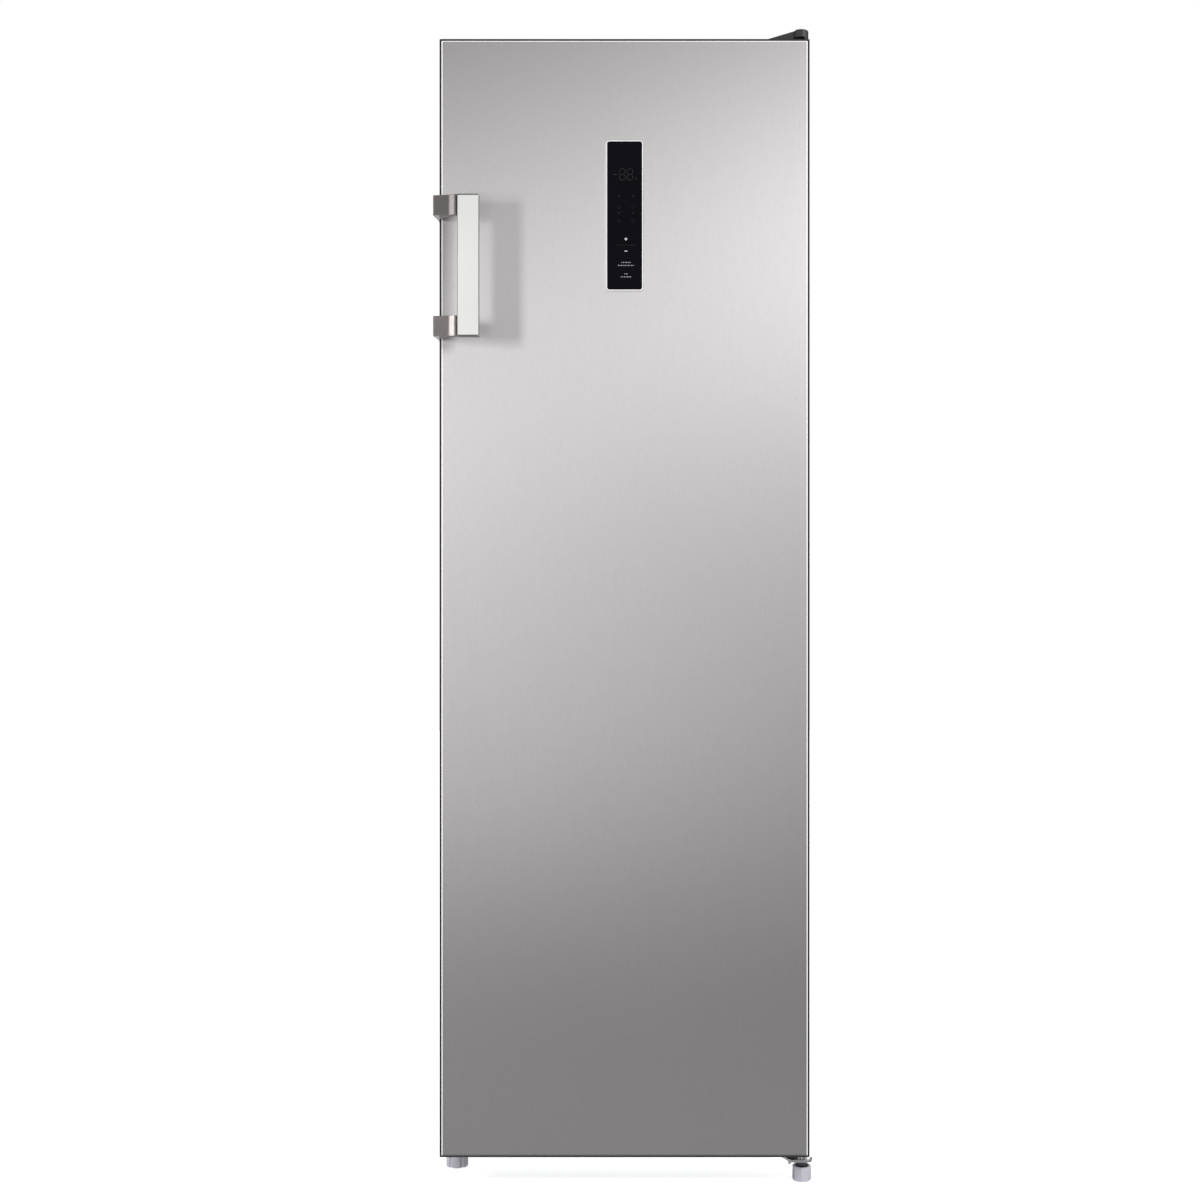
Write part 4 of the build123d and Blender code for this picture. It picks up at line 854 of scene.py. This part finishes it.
class FREEZER_OT_hinges(bpy.types.Operator):
    """Zinc-plated hinges, screws and axles, and the covers of dark plastic"""
    bl_idname = "freezer.hinges"
    bl_label = "Hinges"

    def execute(self, context):
        paint(surface("zinc_plate", (0.60, 0.59, 0.60), 0.34, 0.9, "Cast Skin", 0.002,
                      tone=0.08, cloud=0.08, cloud_size=0.03, relief=0.1, spread=0.1,
                      wear_and_glint_colour=(0.80, 0.79, 0.79), dust=0.05),
              "bottom_hinge", "top_hinge", "bottom_hinge_screws", "top_hinge_screws",
              "rear_cover_screws", "handle_screws", "roller_axles")
        paint(surface("dark_plastic", (0.032, 0.030, 0.031), 0.50, pattern="Moulded Skin",
                      size=0.0007, tone=0.12, relief=0.35, wear_and_glint_colour=(0.14, 0.135, 0.135), dust=0.06),
              "hinge_cover", "rear_cover", "cord_gland", "compressor_cover")
        return {"FINISHED"}


class FREEZER_OT_feet(bpy.types.Operator):
    """Fluted feet with their threaded studs, and the rubber of rollers and grommets"""
    bl_idname = "freezer.feet"
    bl_label = "Feet and Rollers"

    def execute(self, context):
        colours = context.scene.freezer_finishes
        # The light edge colour on the feet is a painted highlight along the ridges of the flutes.
        paint(surface("foot_plastic", colours.feet, 0.40, pattern="Moulded Skin", size=0.0012,
                      tone=0.12, relief=0.25, spread=0.10, edge=0.0009,
                      wear_and_glint_colour=(0.78, 0.77, 0.82), wear_and_glint=0.9), "foot_pad_left", "foot_pad_right")
        dark_steel = surface("dark_steel", (0.12, 0.12, 0.125), 0.38, 0.9, "Cast Skin", 0.0009,
                             tone=0.12, relief=0.15, spread=0.08, wear_and_glint_colour=(0.45, 0.45, 0.45))
        paint(dark_steel, "foot_stud_left", "foot_stud_right")
        paint(surface("roller_rubber", (0.035, 0.035, 0.036), 0.72, pattern="Cast Skin",
                      size=0.0012, tone=0.15, relief=0.3, wear_and_glint_colour=(0.12, 0.12, 0.12)),
              "roller_left", "roller_right", "grommets")
        for side in ("left", "right"):
            self.add_thread(context.scene.freezer_fittings, side, dark_steel)
        return {"FINISHED"}

    def add_thread(self, settings, side, material):
        """A rolled thread: a ridge that winds up the stud from the knob's collar to its end."""
        stud_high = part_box(f"foot_stud_{side}")[1]
        pad_low, pad_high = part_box(f"foot_pad_{side}")
        middle = (pad_low + pad_high) / 2
        pitch = settings.thread_pitch
        core, crest, steps = 0.00496, 0.00515, 20
        start, end = pad_high.z + 0.0068, stud_high.z - 0.001
        bm = bmesh.new()
        previous = None
        for k in range(int((end - start) / pitch * steps) + 1):
            angle = math.tau * k / steps
            ridge = [bm.verts.new((middle.x + reach * math.cos(angle),
                                   middle.y + reach * math.sin(angle),
                                   start + pitch * (k / steps + share)))
                     for reach, share in ((core, 0.0), (crest, 0.3), (core, 0.6))]
            if previous:
                for j in range(2):
                    bm.faces.new((previous[j], ridge[j], ridge[j + 1], previous[j + 1]))
            previous = ridge
        mesh_piece(f"foot_thread_{side}", f"foot_{side}_stud", material, bm,
                   smooth=True)


class FREEZER_OT_food_space(bpy.types.Operator):
    """Clear drawers, glass shelves and the lamp's lens"""
    bl_idname = "freezer.food_space"
    bl_label = "Food Space"

    def execute(self, context):
        colours = context.scene.freezer_finishes
        drawers = clear_surface("drawer_clear", colours.drawers, 0.18, size=0.003, tone=0.01,
                                relief=0.12, spread=0.06, ior=1.58)
        paint(drawers, *numbered("drawer", 6))
        glass = clear_surface("shelf_glass", colours.shelves, 0.04, size=0.02, tone=0.01,
                              relief=0.01, spread=0.02, ior=1.5)
        paint(glass, *numbered("shelf", 5))
        paint(surface("lamp_lens", (0.88, 0.89, 0.91), 0.3, pattern="Brushed Lines", size=0.004,
                      stretch=(1.0, 0.02, 0.02), tone=0.04, relief=0.5, spread=0.05),
              "interior_lamp")
        return {"FINISHED"}


class FREEZER_OT_cooling_unit(bpy.types.Operator):
    """Finned evaporator, heater and fan behind their cover"""
    bl_idname = "freezer.cooling_unit"
    bl_label = "Cooling Unit"

    def execute(self, context):
        paint(surface("coil_aluminium", (0.72, 0.73, 0.74), 0.30, 0.95, "Brushed Lines", 0.0012,
                      (0.1, 1.0, 1.0), tone=0.08, relief=0.15, spread=0.08), "evaporator")
        paint(surface("heater_steel", (0.40, 0.38, 0.36), 0.35, 0.9, "Brushed Lines", 0.0008,
                      (0.05, 1.0, 1.0), tone=0.1, relief=0.1), "defrost_heater")
        paint(surface("fan_plastic", (0.035, 0.035, 0.038), 0.45, pattern="Moulded Skin",
                      size=0.0006, tone=0.1, relief=0.25), "fan_motor", "fan_rotor")
        return {"FINISHED"}


class FREEZER_OT_machine_room(bpy.types.Operator):
    """Compressor, drip tray, drier and tubes, and the wires from the relay to the cord gland"""
    bl_idname = "freezer.machine_room"
    bl_label = "Machine Compartment"

    def execute(self, context):
        colours = context.scene.freezer_finishes
        paint(surface("black_enamel", (0.018, 0.018, 0.02), 0.30, pattern="Cast Skin",
                      size=0.003, tone=0.15, relief=0.15, spread=0.08, coat_weight=0.25,
                      wear_and_glint_colour=(0.16, 0.15, 0.15), dust=0.5), "compressor")
        paint(surface("tray_plastic", (0.05, 0.05, 0.053), 0.48, pattern="Moulded Skin",
                      size=0.0012, tone=0.1, relief=0.3, dust=0.4), "drip_tray")
        paint(surface("copper", colours.copper, 0.30, 1.0, "Cast Skin", 0.004,
                      tone=0.14, cloud=0.12, cloud_size=0.03, relief=0.05, spread=0.12),
              "filter_drier", "refrigerant_tube")
        self.add_wires(context.scene.freezer_fittings)
        return {"FINISHED"}

    def add_wires(self, settings):
        """Insulated wires that lie on the base from the relay's cover to the gland."""
        relay_low, relay_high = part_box("compressor_cover")
        gland_low, gland_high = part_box("cord_gland")
        inner = gland_low.y - 0.0002
        lane = inner - 0.030
        for k in range(settings.wire_count):
            shift = (k - (settings.wire_count - 1) / 2) * 1.15 * settings.wire
            start = Vector((relay_high.x - 0.012 + shift, relay_high.y - 0.008,
                            relay_low.z + 0.001))
            gland = Vector(((gland_low.x + gland_high.x) / 2, inner,
                            (gland_low.z + gland_high.z) / 2 + shift))
            route = (start, start + Vector((0.0, 0.006, -0.030)),
                     Vector((start.x - 0.02, lane, 0.064)),
                     Vector((-0.060, lane + 0.004, 0.046 + abs(shift))),
                     Vector((gland.x + 0.06, lane, 0.048)),
                     gland + Vector((0.004, -0.026, -0.004)), gland)
            self.add_wire(f"relay_wire_{k + 1}", route, settings.wire)

    def add_wire(self, name, route, diameter):
        """One round wire along its route."""
        curve = bpy.data.curves.new(name, "CURVE")
        curve.dimensions = "3D"
        curve.bevel_depth = diameter / 2
        curve.bevel_resolution = 3
        line = curve.splines.new("NURBS")
        line.points.add(len(route) - 1)
        for point, place in zip(line.points, route):
            point.co = (*place, 1.0)
        line.order_u = 4
        line.use_endpoint_u = True
        curve.materials.append(bpy.data.materials["roller_rubber"])
        wire = add_object(name, curve)
        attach(wire, "cabinet")


class FREEZER_PT_looks(bpy.types.Panel):
    """Buttons for each group of pieces"""
    bl_idname = "FREEZER_PT_looks"
    bl_label = "Upright Freezer"
    bl_space_type = "VIEW_3D"
    bl_region_type = "UI"
    bl_category = "Freezer"

    def draw(self, context):
        for step in STEPS:
            self.layout.operator(step.bl_idname)


STEPS = (
    FREEZER_OT_studio, FREEZER_OT_sheet_metal, FREEZER_OT_door, FREEZER_OT_handle,
    FREEZER_OT_display, FREEZER_OT_hinges, FREEZER_OT_feet, FREEZER_OT_food_space,
    FREEZER_OT_cooling_unit, FREEZER_OT_machine_room,
)
SETTINGS = {
    "freezer_studio": FreezerStudio,
    "freezer_finishes": FreezerFinishes,
    "freezer_display": FreezerDisplay,
    "freezer_fittings": FreezerFittings,
}


def register():
    for name, group in SETTINGS.items():
        bpy.utils.register_class(group)
        setattr(bpy.types.Scene, name, PointerProperty(type=group))
    for step in STEPS:
        bpy.utils.register_class(step)
    bpy.utils.register_class(FREEZER_PT_looks)


def unregister():
    bpy.utils.unregister_class(FREEZER_PT_looks)
    for step in reversed(STEPS):
        bpy.utils.unregister_class(step)
    for name, group in SETTINGS.items():
        delattr(bpy.types.Scene, name)
        bpy.utils.unregister_class(group)


def main():
    register()
    build_groups()
    for step in STEPS:
        area, name = step.bl_idname.split(".")
        getattr(getattr(bpy.ops, area), name)()


if __name__ == "__main__":
    main()
